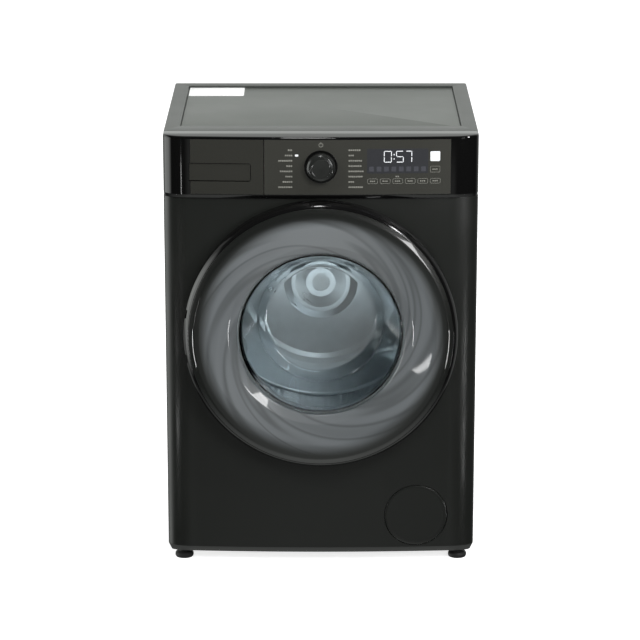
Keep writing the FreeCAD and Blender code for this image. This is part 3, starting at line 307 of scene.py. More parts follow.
def lit_print(name, colour, strength):
    """Print or display element of slightly uneven colour; above zero, strength makes it glow."""
    material, tree, shader = new_material(name, Roughness=0.4, Emission_Strength=strength)
    mixed = blend_colours(tree, noise(tree, 500, 1), shade_of(colour, 0.9), colour)
    put(tree, shader.inputs["Base Color"], mixed)
    put(tree, shader.inputs["Emission Color"], mixed)
    return material


# Colour, roughness, fineness of the grain, play of colour and of roughness, and depth of the grain.
GRAINED = {
    "panel_paint": ((0.0105, 0.0115, 0.0102), 0.34, 1400, 0.1, 0.05, 0.00001),
    "worktop": ((0.036, 0.04, 0.036), 0.42, 1200, 0.08, 0.02, 0.00001),
    "worktop_board": ((0.042, 0.049, 0.041), 0.4, 1600, 0.08, 0.02, 0.00001),
    "label": ((0.86, 0.87, 0.86), 0.45, 700, 0.03),
    "fascia": ((0.0035, 0.0035, 0.0035), 0.06, 300, 0.1, 0.015, 0.0000005),
    "overlay": ((0.03, 0.03, 0.025), 0.42, 1800, 0.1, 0.05, 0.00001),
    "drawer_face": ((0.022, 0.022, 0.018), 0.42, 1800, 0.1, 0.05, 0.00001),
    "knob": ((0.014, 0.015, 0.014), 0.22, 900, 0.1, 0.04, 0.000004),
    "door_trim": ((0.004, 0.004, 0.004), 0.1, 300, 0.1, 0.03, 0.000002),
    "door_inner": ((0.06, 0.06, 0.06), 0.42, 700),
    "lock_plastic": ((0.75, 0.75, 0.72), 0.42, 600, 0.05),
    "gasket_rubber": ((0.16, 0.165, 0.17), 0.5, 700, 0.12, 0.06, 0.00003),
    "tub_plastic": ((0.56, 0.57, 0.56), 0.48, 400, 0.06),
    "iron": ((0.12, 0.12, 0.125), 0.62, 220, 0.25, 0.1, 0.0003),
    "motor": ((0.06, 0.06, 0.065), 0.4, 500),
    "belt": ((0.02, 0.02, 0.02), 0.66, 900),
    "lifter": ((0.46, 0.48, 0.5), 0.38, 500, 0.05),
    "base_plastic": ((0.05, 0.05, 0.05), 0.5, 600),
    "damper": ((0.18, 0.18, 0.19), 0.4, 500),
    "filter_cap": ((0.3, 0.32, 0.34), 0.4, 500),
    "foot_rubber": ((0.014, 0.014, 0.014), 0.6, 700),
    "gland_plastic": ((0.02, 0.02, 0.02), 0.45, 600),
    "hose_rubber": ((0.03, 0.03, 0.03), 0.55, 600),
    "pump_plastic": ((0.3, 0.31, 0.32), 0.45, 500),
    "valve_plastic": ((0.72, 0.72, 0.7), 0.42, 500),
}
# Colour, roughness, how far the lines are drawn out along each axis, and their fineness.
BRUSHED = {
    "zinc": ((0.6, 0.6, 0.58), 0.35, (1, 6, 1), 90),
    "screw_steel": ((0.55, 0.55, 0.54), 0.3, (1, 1, 1), 300),
    "heater_steel": ((0.5, 0.49, 0.46), 0.34, (1, 1, 1), 150),
    "bearing_steel": ((0.68, 0.68, 0.7), 0.2, (1, 30, 1), 80),
    "motor_pulley": ((0.6, 0.6, 0.6), 0.3, (1, 40, 1), 120),
    "drum_steel": ((0.62, 0.64, 0.66), 0.3, (1, 30, 1), 50),
    "aluminium": ((0.62, 0.63, 0.64), 0.42, (1, 1, 1), 200),
    "damper_rod": ((0.66, 0.66, 0.67), 0.22, (1, 1, 30), 60),
    "spring_steel": ((0.5, 0.5, 0.49), 0.32, (1, 1, 1), 120),
}
FINISHES = {name: grained(name, *values) for name, values in GRAINED.items()}
FINISHES.update({name: brushed(name, *values) for name, values in BRUSHED.items()})
FINISHES["tray_plastic"] = grained("tray_plastic", (0.7, 0.71, 0.72), 0.35, 500, 0.04, Subsurface_Weight=0.05)
FINISHES["galvanised"] = galvanised_steel()
FINISHES["circuit"] = circuit_board()
FINISHES["door_glass"] = window_glass()
FINISHES["door_cover"] = printed_swirl()
LEGEND = lit_print("legend_print", (0.22, 0.22, 0.195), 0.0)
DIGITS = lit_print("display_light", (0.66, 0.68, 0.7), 0.3)
DIM_LIGHT = lit_print("indicator_tint", (0.052, 0.054, 0.064), 0.0)
SMOKED = lit_print("display_window", (0.026, 0.027, 0.031), 0.0)

for row in frame["record"]["subparts"]:
    surface = frame["nodes"][row["node"]].data.materials
    surface.clear()
    surface.append(FINISHES[row["material_slot"]])


# ---------------- mesh helpers
def grid_faces(rows, columns, wrap_rows=False, wrap_columns=False):
    """Quads between rows of points, all rows having the same number of columns."""
    faces = []
    for row in range(rows if wrap_rows else rows - 1):
        here, above = row * columns, (row + 1) % rows * columns
        for column in range(columns if wrap_columns else columns - 1):
            beside = (column + 1) % columns
            faces.append((here + column, here + beside, above + beside, above + column))
    return faces


def tube_faces(rows, size):
    """Sides and both ends of a closed skin over rows of equal loops."""
    ends = [tuple(range(size)), tuple(range((rows - 1) * size, rows * size))]
    return grid_faces(rows, size, False, True) + ends


def shade(data, crease):
    data.shade_smooth()
    data.set_sharp_from_angle(angle=radians(crease))


def new_mesh(name, points, faces, merge):
    """Object in the frame's axes with doubled points merged and normals facing out."""
    data = bpy.data.meshes.new(name)
    data.from_pydata([tuple(point) for point in points], [], faces)
    work = bmesh.new()
    work.from_mesh(data)
    bmesh.ops.remove_doubles(work, verts=work.verts, dist=merge)
    bmesh.ops.recalc_face_normals(work, faces=work.faces)
    work.to_mesh(data)
    work.free()
    made = bpy.data.objects.new(name, data)
    scene.collection.objects.link(made)
    return made


def piece(name, points, faces, body, slot, crease=35, finish=None):
    """A mesh that wears its slot's finish and rides on a body, if one is given."""
    made = new_mesh(name, points, faces, 1e-6)
    shade(made.data, crease)
    made.data.materials.append(finish or FINISHES[slot])
    if body:
        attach(made, body)
    return made


def loft(name, loops, body, slot, wrap=False, caps=True, crease=35, finish=None):
    """Skin over closed loops of equal length: wrap joins the last loop to the first, caps close the ends."""
    rows, size = len(loops), len(loops[0])
    faces = tube_faces(rows, size) if caps and not wrap else grid_faces(rows, size, wrap, True)
    return piece(name, [point for loop in loops for point in loop], faces, body, slot, crease, finish)


def filleted(corners, radius, steps=4, closed=True):
    """Outline with its corners rounded; a corner's own third number replaces the radius."""
    outline, count = [], len(corners)
    for number, corner in enumerate(corners):
        here = Vector(corner[:2])
        size = corner[2] if len(corner) > 2 else radius
        if not closed and number in (0, count - 1) or size == 0:
            outline.append(here)
            continue
        way_in = Vector(corners[number - 1][:2]) - here
        way_out = Vector(corners[(number + 1) % count][:2]) - here
        half_angle = way_in.angle(way_out) / 2
        reach = min(size / tan(half_angle), 0.48 * min(way_in.length, way_out.length))
        outline += bend(here + way_in.normalized() * reach, here, here + way_out.normalized() * reach, steps)
    return outline


def bend(enter, corner, leave, steps):
    """Points of a smooth curve that leaves one side of a corner and joins the other."""
    parts = [step / steps for step in range(steps + 1)]
    return [enter * (1 - part) ** 2 + corner * 2 * part * (1 - part) + leave * part**2 for part in parts]


def turned(name, outline, body, slot, around=AROUND, crease=35, wrap=True, axis_z=DOOR_Z):
    """Solid turned about an axis along Y: the outline's points are (radius, y)."""
    points = []
    for step in range(around):
        angle = 2 * pi * step / around
        cosine, sine = cos(angle), sin(angle)
        points += [(radius * cosine, y, axis_z + radius * sine) for radius, y in outline]
    return piece(name, points, grid_faces(around, len(outline), True, wrap), body, slot, crease)


def rounded_rectangle(low_a, low_b, high_a, high_b, radius, steps=6):
    """Points round a rectangle with round corners, always the same number of them."""
    points = []
    centres = (
        (high_a - radius, high_b - radius), (low_a + radius, high_b - radius),
        (low_a + radius, low_b + radius), (high_a - radius, low_b + radius),
    )
    for quarter, (centre_a, centre_b) in enumerate(centres):
        for step in range(steps + 1):
            angle = pi / 2 * (quarter + step / steps)
            points.append((centre_a + radius * cos(angle), centre_b + radius * sin(angle)))
    return points


def circle(centre_a, centre_b, radius, steps=96):
    angles = [2 * pi * step / steps for step in range(steps)]
    return [(centre_a + radius * cos(angle), centre_b + radius * sin(angle)) for angle in angles]


def flat_span(low, high):
    """Plan of a box as (low x, low y, high x, high y)."""
    return low.x, low.y, high.x, high.y


def upright_span(low, high):
    """Elevation of a box as (low x, low z, high x, high z)."""
    return low.x, low.z, high.x, high.z


def inset_loops(span, levels, place, steps):
    """One round-cornered loop inside the span for each level of (inset, depth, corner)."""
    low_a, low_b, high_a, high_b = span
    loops = []
    for inset, depth, corner in levels:
        loop = rounded_rectangle(low_a + inset, low_b + inset, high_a - inset, high_b - inset, corner, steps)
        loops.append([place(a, b, depth) for a, b in loop])
    return loops


def pressed(name, span, levels, place, body, slot, crease=35, steps=8):
    """Closed sheet or plate over insets of a span."""
    return loft(name, inset_loops(span, levels, place, steps), body, slot, crease=crease)


def tool(points, rows, size):
    """Closed mesh over rows of equal loops that only serves to cut another."""
    return new_mesh("tool", points, tube_faces(rows, size), 1e-7)


def prism_tool(loop, near, far):
    """Cutting tool: a loop of (x, z) carried along Y from near to far."""
    return tool([(x, y, z) for y in (near, far) for x, z in loop], 2, len(loop))


def slab_tool(stations, near):
    """Cutting tool across the front, through stations of (x, far y, low z, high z)."""
    points = []
    for x, far, low, high in stations:
        points += [(x, near, low), (x, far, low), (x, far, high), (x, near, high)]
    return tool(points, len(stations), 4)


def carve(target, *tools):
    """Cut the tools out of the target and remove them."""
    for cutter in tools:
        change = target.modifiers.new("cut", "BOOLEAN")
        change.operation = "DIFFERENCE"
        change.solver = "EXACT"
        change.object = cutter
    bpy.context.view_layer.update()
    seen = bpy.context.evaluated_depsgraph_get()
    old = target.data
    target.data = bpy.data.meshes.new_from_object(target.evaluated_get(seen))
    target.modifiers.clear()
    bpy.data.meshes.remove(old)
    for cutter in tools:
        data = cutter.data
        bpy.data.objects.remove(cutter)
        bpy.data.meshes.remove(data)
    shade(target.data, 35)


# ---------------- the bowed front
def front_y(x):
    """Front face of the cabinet across its gently bowed part."""
    return FACE_Y + BOW_RADIUS - sqrt(BOW_RADIUS**2 - min(abs(x), BOW_HALF) ** 2)


def fascia_y(x):
    return front_y(x) - PROUD


def front_line(proud, inset, back_y, left=None, right=None):
    """Plan outline of the front. It turns both corners to back_y, unless it stops at left or right."""
    side = CASE_HALF - inset
    corner_y = FACE_Y + BOW_SAG + CORNER_DEEP
    points = []

    def turn(centre, quarter, steps):
        for step in steps:
            angle = pi * (quarter + step / CORNER_STEPS / 2)
            x = centre + (side - BOW_HALF) * cos(angle)
            points.append((x, corner_y + (CORNER_DEEP + proud) * sin(angle)))

    if left is None:
        points.append((-side, back_y))
        turn(-BOW_HALF, 1, range(CORNER_STEPS))
    start, stop = -BOW_HALF if left is None else left, BOW_HALF if right is None else right
    for step in range(BOW_STEPS + 1):
        x = start + (stop - start) * step / BOW_STEPS
        points.append((x, front_y(x) - proud))
    if right is None:
        turn(BOW_HALF, 1.5, range(1, CORNER_STEPS + 1))
        points.append((side, back_y))
    return points


def front_shell(name, section, back_y, body, slot, left=None, right=None):
    """Sheet that follows the bowed front: its closed section is a list of (proud, inset, z)."""
    rows = []
    for proud, inset, z in section:
        rows.append([(x, y, z) for x, y in front_line(proud, inset, back_y, left, right)])
    size = len(rows[0])
    faces = grid_faces(len(rows), size, True, False)
    faces += [tuple(row * size + end for row in range(len(rows))) for end in (0, size - 1)]
    return piece(name, [point for row in rows for point in row], faces, body, slot, 30)


def section_of(corners, radius, steps=3):
    """Rounds a section whose corners are (proud, inset, z); inset follows proud along it."""
    flat = filleted([(proud, z) for proud, inset, z in corners], radius, steps)
    table = []
    for number, (proud, inset, z) in enumerate(corners):
        before, after = corners[number - 1], corners[(number + 1) % len(corners)]
        for step in range(steps + 1):
            spot = flat[number * (steps + 1) + step]
            towards = before if step < steps / 2 else after
            span = dist((proud, z), (towards[0], towards[2]))
            part = dist((proud, z), spot) / span if span else 0
            table.append((spot[0], inset + (towards[1] - inset) * part, spot[1]))
    return table


def front_panel():
    """Bowed steel front with its bevelled foot, porthole, filter opening and slots for hook and hinge."""
    bevel_top, fold = PANEL_FOOT + BEVEL_TALL, 0.009
    section = section_of(
        [
            (-BEVEL_DEEP, BEVEL_IN, PANEL_FOOT), (0, 0, bevel_top), (0, 0, PANEL_TOP),
            (-fold, fold, PANEL_TOP), (-fold, fold, PANEL_TOP - GAUGE), (-GAUGE, GAUGE, PANEL_TOP - GAUGE),
            (-GAUGE, GAUGE, bevel_top), (-BEVEL_DEEP - GAUGE, BEVEL_IN + GAUGE, PANEL_FOOT),
        ],
        0.0009,
    )
    panel = front_shell("front_panel_skin", section, panel_high.y, "cabinet", "panel_paint")
    loops = [
        circle(0, DOOR_Z, PORTHOLE_RAD, 192),
        circle(FILTER_X, FILTER_Z, FILTER_RAD + FILTER_GAP),
        rounded_rectangle(0.196, DOOR_Z - 0.012, 0.215, DOOR_Z + 0.012, 0.003),
    ]
    for low, high in HINGE_SLOTS:
        loops.append(rounded_rectangle(-0.217, DOOR_Z + low, -0.205, DOOR_Z + high, 0.003))
    carve(panel, *[prism_tool(loop, FACE_Y - 0.02, FACE_Y + 0.03) for loop in loops])
    near, far = FACE_Y + 0.0002, FACE_Y + 0.011
    inner, outer = PORTHOLE_RAD, PORTHOLE_RAD + 0.002
    lip = filleted([(inner, near), (outer, near), (outer, far), (inner, far)], 0.0006)
    turned("porthole_lip", lip, "cabinet", "panel_paint")
    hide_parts("front_panel")


def filter_cover():
    """Round lid that carries on the bow of the panel, with a rounded rim and two clips."""
    rings, spokes = 10, 96
    points = [(FILTER_X, front_y(FILTER_X), FILTER_Z)]
    levels = [(FILTER_RAD * (step + 1) / rings * 0.985, 0.0) for step in range(rings)]
    levels += [(FILTER_RAD - 0.0004, 0.0003), (FILTER_RAD, 0.0009), (FILTER_RAD, 0.0026)]
    levels.append((FILTER_RAD - 0.002, 0.0026))
    for radius, drop in levels:
        points += [(x, front_y(x) + drop, z) for x, z in circle(FILTER_X, FILTER_Z, radius, spokes)]
    faces = [(0, 1 + step, 1 + (step + 1) % spokes) for step in range(spokes)]
    faces += [tuple(corner + 1 for corner in quad) for quad in grid_faces(len(levels), spokes, False, True)]
    faces.append(tuple(range(len(points) - spokes, len(points))))
    lid = piece("filter_lid", points, faces, "filter_flap", "panel_paint")

    def behind(x, z, depth):
        return (x, front_y(FILTER_X) + depth, z)

    levels = [(0, 0.0024, 0.0004), (0, 0.012, 0.0004), (0.0006, 0.0135, 0.0004), (0.001, 0.0145, 0.0004)]
    for side, x in (("left", FILTER_X - 0.053), ("right", FILTER_X + 0.05)):
        span = (x, FILTER_Z - 0.006, x + 0.003, FILTER_Z + 0.006)
        pressed(f"filter_lid_clip_{side}", span, levels, behind, "filter_flap", "panel_paint", steps=6)
    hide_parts("filter_cover")


front_panel()
filter_cover()


# ---------------- control fascia
def fascia_roof():
    """Top plate of the fascia with its rounded front edge, over the drawer as well."""
    levels = [
        (PROUD, 0.0, ROOF_LOW), (PROUD - 0.0006, 0.0003, ROOF_LOW + 0.0012),
        (PROUD - 0.0022, 0.0012, ROOF_LOW + 0.0029), (PROUD - 0.004, 0.0024, FASCIA_TOP - 0.0004),
        (PROUD - 0.0052, 0.0034, FASCIA_TOP),
    ]
    rows = [[(x, y, z) for x, y in front_line(proud, inset, FASCIA_BACK)] for proud, inset, z in levels]
    loft("fascia_roof", rows, "cabinet", "fascia", crease=50)


def control_fascia():
    """Front moulding beside the drawer, with the overlay's recess and the encoder's hole."""
    top, lip = ROOF_LOW + 0.0002, FASCIA_FOOT + LIP_TALL
    section = section_of(
        [
            (PROUD - 0.0028, 0.0015, FASCIA_FOOT), (PROUD, 0, lip), (PROUD, 0, top),
            (PROUD - FASCIA_WALL, FASCIA_WALL, top), (PROUD - FASCIA_WALL, FASCIA_WALL, lip),
            (PROUD - FASCIA_WALL - 0.0025, FASCIA_WALL + 0.0015, FASCIA_FOOT),
        ],
        0.0005,
    )
    left = SEAM_X + SEAM_HALF
    body = front_shell("fascia_body", section, FASCIA_BACK - 0.006, "cabinet", "fascia", left=left)
    encoder = prism_tool(circle(0, KNOB_Z, 0.005, 32), -0.262, -0.222)
    play, steps = 0.0001, 40
    stations = []
    for step in range(steps + 1):
        x = overlay_low.x - play + (overlay_high.x - overlay_low.x + 2 * play) * step / steps
        stations.append((x, fascia_y(x) + 0.0016, overlay_low.z - play, overlay_high.z + play))
    carve(body, slab_tool(stations, FACE_Y - 0.02), encoder)
    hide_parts("control_fascia")


fascia_roof()
control_fascia()


# ---------------- dispenser drawer
def grip_tool():
    """Cutter for the grip pocket: of even depth in the bowed front, its right corners rounded."""
    left, steps, corner = -BOW_HALF - 0.0035, 40, 0.005
    half, centre = (GRIP_HIGH - GRIP_LOW) / 2, (GRIP_LOW + GRIP_HIGH) / 2
    stations = []
    for step in range(steps + 1):
        x = left + (GRIP_RIGHT - left) * (1 - (1 - step / steps) ** 2)
        into = max(0.0, x - (GRIP_RIGHT - corner))
        reach = half - corner + sqrt(max(corner**2 - into**2, 1e-10))
        stations.append((x, fascia_y(x) + GRIP_DEEP, centre - reach, centre + reach))
    return slab_tool(stations, FACE_Y - 0.03)


def bowed_plate(name, left, right, low, high, lift, sink, body, slot, finish=None):
    """Thin plate that follows the bow of the fascia, from lift in front of it to sink behind."""
    steps = max(2, ceil((right - left) / 0.004))
    half, centre = (high - low) / 2, (low + high) / 2
    foot, top = centre - half, centre + half
    loops = []
    for step in range(steps + 1):
        x = left + (right - left) * step / steps
        near, far = fascia_y(x) - lift, fascia_y(x) + sink
        loops.append([(x, near, foot), (x, near, top), (x, far, top), (x, far, foot)])
    loft(name, loops, body, slot, finish=finish)


def drawer_front():
    """Drawer face with its gloss end, the satin field, and the grip pocket."""
    thick, right = 0.0135, SEAM_X - SEAM_HALF
    section = section_of(
        [
            (PROUD - 0.0028, 0.0015, FASCIA_FOOT), (PROUD, 0, FASCIA_FOOT + LIP_TALL), (PROUD, 0, FACE_LOW),
            (PROUD, 0, FACE_HIGH), (PROUD, 0, DRAWER_TOP), (PROUD - thick, FASCIA_WALL, DRAWER_TOP),
            (PROUD - thick, FASCIA_WALL, FASCIA_FOOT + 0.001),
        ],
        0.0005,
    )
    body = front_shell("drawer_face", section, FASCIA_BACK - 0.006, "drawer", "fascia", right=right)
    carve(body, grip_tool())
    body.data.materials.append(FINISHES["drawer_face"])
    for face in body.data.polygons:
        spot = face.center
        inside = -BOW_HALF < spot.x < right - 0.0006 and FACE_LOW < spot.z < FACE_HIGH
        if inside and spot.y < fascia_y(spot.x) + 0.0035 and face.normal.y < -0.8:
            face.material_index = 1
    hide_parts("drawer_front")
    rim = 0.0013
    bowed_plate(
        "grip_floor", -BOW_HALF - 0.002, GRIP_RIGHT - rim, GRIP_LOW + rim, GRIP_HIGH - rim, -0.0022, 0.0054,
        "drawer", "drawer_face",
    )


drawer_front()


# ---------------- programme knob and printed controls
def programme_knob():
    """Knob with a dished face, a fine groove round it and a rounded shoulder."""
    front, back, rim = knob_low.y, knob_high.y, KNOB_RAD
    corners = [
        (0.0, front + 0.0006), (0.0165, front + 0.0004), (0.0174, front), (0.018, front),
        (0.0183, front + 0.0005), (0.0187, front + 0.0001), (rim - 0.0042, front + 0.0016, 0.003),
        (rim - 0.0006, front + 0.0052, 0.003), (rim, front + 0.01), (rim, back - 0.0006),
        (rim - 0.001, back), (0.0, back),
    ]
    knob = turned("programme_knob_body", filleted(corners, 0.0006), "knob", "knob", 144, axis_z=KNOB_Z)
    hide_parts("programme_knob")


def well_ring():
    """Dark ring that lines the well around the knob."""
    overlay_y = fascia_y(0)
    corners = [
        (0.0316, overlay_y + 0.0002), (0.0316, overlay_y + 0.0026), (0.004, overlay_y + 0.0026),
        (0.004, overlay_y + 0.0016), (0.0292, overlay_y + 0.0016), (0.0302, overlay_y + 0.0002),
    ]
    turned("knob_well_ring", filleted(corners, 0.0003), "cabinet", "fascia", 144, axis_z=KNOB_Z)


def printed(name, shapes, finish, lift=0.0001):
    """Flat prints on the fascia. Each shape is a list of loops of (x, z): its edge, then perhaps its hole."""
    points, faces = [], []
    for loops in shapes:
        start, size = len(points), len(loops[0])
        for height in (lift, -0.00005):
            points += [(x, fascia_y(x) - height, z) for loop in loops for x, z in loop]
        pairs = [(0, 1), (1, 3), (3, 2), (2, 0)]
        if len(loops) == 1:
            faces += [tuple(range(start, start + size)), tuple(range(start + size, start + 2 * size))]
            pairs = [(0, 1)]
        for here, beyond in pairs:
            here, beyond = start + here * size, start + beyond * size
            for step in range(size):
                after = (step + 1) % size
                faces.append((here + step, here + after, beyond + after, beyond + step))
    piece(name, points, faces, "cabinet", "overlay", finish=finish)


def bar(left, right, low, high, corner=0.0004, steps=2):
    return [rounded_rectangle(left, low, right, high, corner, steps)]


def outline_box(left, right, low, high, corner, line=0.0006):
    inner = bar(left + line, right - line, low + line, high - line, corner - line, 4)
    return bar(left, right, low, high, corner, 4) + inner


def seven_segments(left, low, wide, tall, lit, stroke=0.0015, gap=0.0005):
    """Digit of a seven segment display; lit names its segments from a at the top round to g in the middle."""
    centre, half = low + tall / 2, stroke / 2
    high, right = low + tall, left + wide
    lying = {"a": high - half, "g": centre, "d": low + half}
    standing = {
        "b": (right - half, centre, high), "c": (right - half, low, centre),
        "f": (left + half, centre, high), "e": (left + half, low, centre),
    }
    shapes = []
    for name in lit:
        if name in lying:
            line, start, end = lying[name], left + gap + half, right - gap - half
        else:
            line, start, end = standing[name]
            start, end = start + gap + half * 0.3, end - gap - half * 0.3
        near, far = line - half, line + half
        bends = (start, line), (start + half, far), (end - half, far), (end, line), (end - half, near)
        bends += ((start + half, near),)
        shapes.append([[spot if name in lying else spot[::-1] for spot in bends]])
    return shapes


LEFT_WORDS = (0.009, 0.0145, 0.027, 0.012, 0.024, 0.0135, 0.019, 0.027)
RIGHT_WORDS = (0.023, 0.0105, 0.026, 0.025, 0.029, 0.027, 0.011, 0.0275)
ROW_TOP, ROW_PITCH = 0.825, 0.01015
KEY_TALL = 0.0022
DIGIT_LOW, DIGIT_TALL = 0.801, 0.0223


def word(left, width, z, tall=0.003):
    """A word stands as a row of short even dashes, so that no lettering is drawn."""
    count = max(2, round(width / 0.0036))
    pitch = width / count
    low, high = z - tall / 2, z + tall / 2
    return [bar(left + pitch * n, left + pitch * (n + 0.78), low, high) for n in range(count)]


def controls():
    """Legends, keys, display pane, digits, the lit square and the dim indicators."""
    legends = []
    for row, (left_width, right_width) in enumerate(zip(LEFT_WORDS, RIGHT_WORDS)):
        z = ROW_TOP - ROW_PITCH * row
        legends += word(-0.053 - left_width, left_width, z) + word(0.052, right_width, z)
    power = KNOB_Z + 0.0418
    turns = [2 * pi * step / 32 for step in range(32)]
    rings = (0.0042, 0.0032)
    legends.append([[(size * sin(turn), power + size * cos(turn)) for turn in turns] for size in rings])
    legends.append(bar(-0.0006, 0.0006, power + 0.0015, power + 0.0058, 0.0003))
    for number in range(6):
        left = 0.0878 + 0.0236 * number
        legends.append(outline_box(left, left + 0.0194, 0.7602, 0.7701, 0.0028))
        legends += word(left + 0.0045, 0.0104, 0.76515, KEY_TALL)
    legends.append(outline_box(0.2057, 0.2243, 0.7815, 0.7935, 0.0014))
    legends += word(0.2098, 0.0104, 0.7875, KEY_TALL) + word(0.1406, 0.0072, 0.774, KEY_TALL)
    printed("control_legends", legends, LEGEND)
    bowed_plate("display_pane", 0.0868, 0.2018, 0.78, 0.8275, 0.00006, 0.0002, "cabinet", "overlay", SMOKED)
    lit = [bar(-0.0486, -0.0424, 0.8128, 0.8168, 0.0008)]
    digits = ((0.1183, 0.015, "abcdef"), (0.1412, 0.0145, "afgcd"), (0.159, 0.0125, "abc"))
    for left, wide, segments in digits:
        lit += seven_segments(left, DIGIT_LOW, wide, DIGIT_TALL, segments)
    lit += [bar(0.1366, 0.1386, z, z + 0.0022, 0.0005) for z in (0.8068, 0.8152)]
    lit.append(bar(0.2057, 0.2243, 0.803, 0.822, 0.0022, 4))
    printed("display_digits", lit, DIGITS, 0.00012)
    lefts = [0.0908 + 0.014 * number for number in range(8)]
    squares = [bar(left, left + 0.0088, 0.7838, 0.7931, 0.001, 3) for left in lefts]
    printed("display_indicators", squares, DIM_LIGHT)


programme_knob()
well_ring()
controls()


# ---------------- worktop
def lying(x, y, z):
    return (x, y, z)


def worktop():
    """Moulded rim round the board, the board set into it, and the plain label."""
    low, high, top = worktop_low.z, worktop_high.z, board_high.z
    outer = [
        (0.001, low, 0.003), (0, low + 0.001, 0.004), (0, high - 0.003, 0.004),
        (0.0004, high - 0.0014, 0.004), (0.0014, high - 0.0003, 0.004), (0.003, high, 0.004),
    ]
    inner = [
        (-0.0018, high, 0.004), (-0.0008, high - 0.0004, 0.0032), (-0.0005, high - 0.0012, 0.003),
        (-0.0005, low + 0.003, 0.003), (0.018, low + 0.003, 0.003), (0.018, low, 0.003),
    ]
    plan = (-CASE_HALF, worktop_low.y, CASE_HALF, REAR_Y)
    board_plan = flat_span(board_low, board_high)
    loops = inset_loops(plan, outer, lying, 6) + inset_loops(board_plan, inner, lying, 6)
    rim = loft("worktop_rim", loops, "cabinet", "worktop", wrap=True, crease=40)
    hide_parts("worktop_frame")
    levels = [(0.001, low + 0.003), (0, low + 0.004), (0, top - 0.0009), (0.0003, top - 0.0003), (0.001, top)]
    levels = [(inset, z, 0.0025) for inset, z in levels]
    board = pressed("worktop_panel", board_plan, levels, lying, "cabinet", "worktop_board", 40, 6)
    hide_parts("worktop_board")
    label_low, label_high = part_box("blank_label")
    levels = [(0, top, 0.003), (0, label_high.z - 0.00005, 0.003), (0.0003, label_high.z, 0.003)]
    label = pressed("plain_label", flat_span(label_low, label_high), levels, lying, "cabinet", "label", 40, 6)
    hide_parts("blank_label")


worktop()


# ---------------- sides and back
def side_panel(name, side):
    """Pressed side: folded edges with a rounded bend, and one large shallow field."""
    def spot(y, z, depth):
        return ((CASE_HALF - depth) * side, y, z)

    fold, field, border = 0.014, 0.0035, 0.052
    levels = [
        (border + 0.006, field + GAUGE, 0.02), (border, GAUGE, 0.024), (0.0022, GAUGE, 0.003),
        (GAUGE, 0.0022, 0.002), (GAUGE, fold, 0.002), (0, fold, 0.003), (0, 0.0022, 0.003),
        (0.0004, 0.001, 0.003), (0.0012, 0.0003, 0.0035), (0.0024, 0, 0.004), (border - 0.002, 0, 0.026),
        (border, 0.0003, 0.024), (border + 0.006, field - 0.0003, 0.02), (border + 0.008, field, 0.018),
    ]
    low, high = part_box("left_side_panel")
    span = (low.y, low.z, high.y, high.z)
    skin = pressed(name + "_skin", span, levels, spot, "cabinet", "panel_paint")
    spring_low, spring_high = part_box("suspension_springs")
    reach, wall, foot, top = spring_high.x - 0.023, CASE_HALF - 0.001, 0.799, 0.802
    hanger = filleted([(reach, foot), (wall, foot), (wall, top), (reach, top)], 0.0008)
    middle_y = middle(spring_low, spring_high)[1]
    loops = [[(x * side, y, z) for x, z in hanger] for y in (middle_y - 0.007, middle_y + 0.007)]
    loft(name + "_hanger", loops, "cabinet", "galvanised")
    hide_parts(name)


def rear_panel():
    """Back sheet with raised beads and its openings."""
    low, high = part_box("rear_panel")

    def spot(x, z, depth):
        return (x, high.y - depth, z)

    levels = [(0.0008, 0.001, 0.002), (0, 0.0008, 0.003), (0, 0.0003, 0.003), (0.0008, 0, 0.003)]
    sheet = pressed("rear_sheet", upright_span(low, high), levels, spot, "cabinet", "galvanised")
    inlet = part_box("inlet_valve")
    holes = [(middle(*inlet)[0], inlet[1].z - 0.02, 0.017)]
    for name, radius in (("drain_outlet", 0.014), ("cord_gland", 0.009)):
        holes.append((*middle(*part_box(name))[::2], radius))
    edge = 0.015
    left, foot, right, top = upright_span(*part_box("transit_hole_caps"))
    holes += [(x, z, 0.011) for x in (left + edge, right - edge) for z in (foot + edge, top - edge)]
    loops = [circle(x, z, radius, 40) for x, z, radius in holes]
    left, foot, right, top = upright_span(*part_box("rear_service_cover"))
    loops.append(rounded_rectangle(left + edge, foot + edge, right - edge, top - edge, 0.02))
    carve(sheet, *[prism_tool(loop, low.y - 0.01, high.y + 0.01) for loop in loops])

    def bead_spot(x, z, depth):
        return (x, high.y - 0.0002 + depth, z)

    beads = [(-0.262, 0.262, 0.05), (-0.262, 0.262, 0.092), (-0.15, 0.262, 0.69), (-0.15, 0.262, 0.735)]
    levels = [(0, 0, 0.0024), (0.0025, 0.0008, 0.0024), (0.0045, 0.0022, 0.0024), (0.0065, 0.0028, 0.0024)]
    for number, (left, right, z) in enumerate(beads):
        span = (left, z - 0.009, right, z + 0.009)
        pressed(f"rear_bead_{number}", span, levels, bead_spot, "cabinet", "galvanised", 60, 6)
    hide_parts("rear_panel")


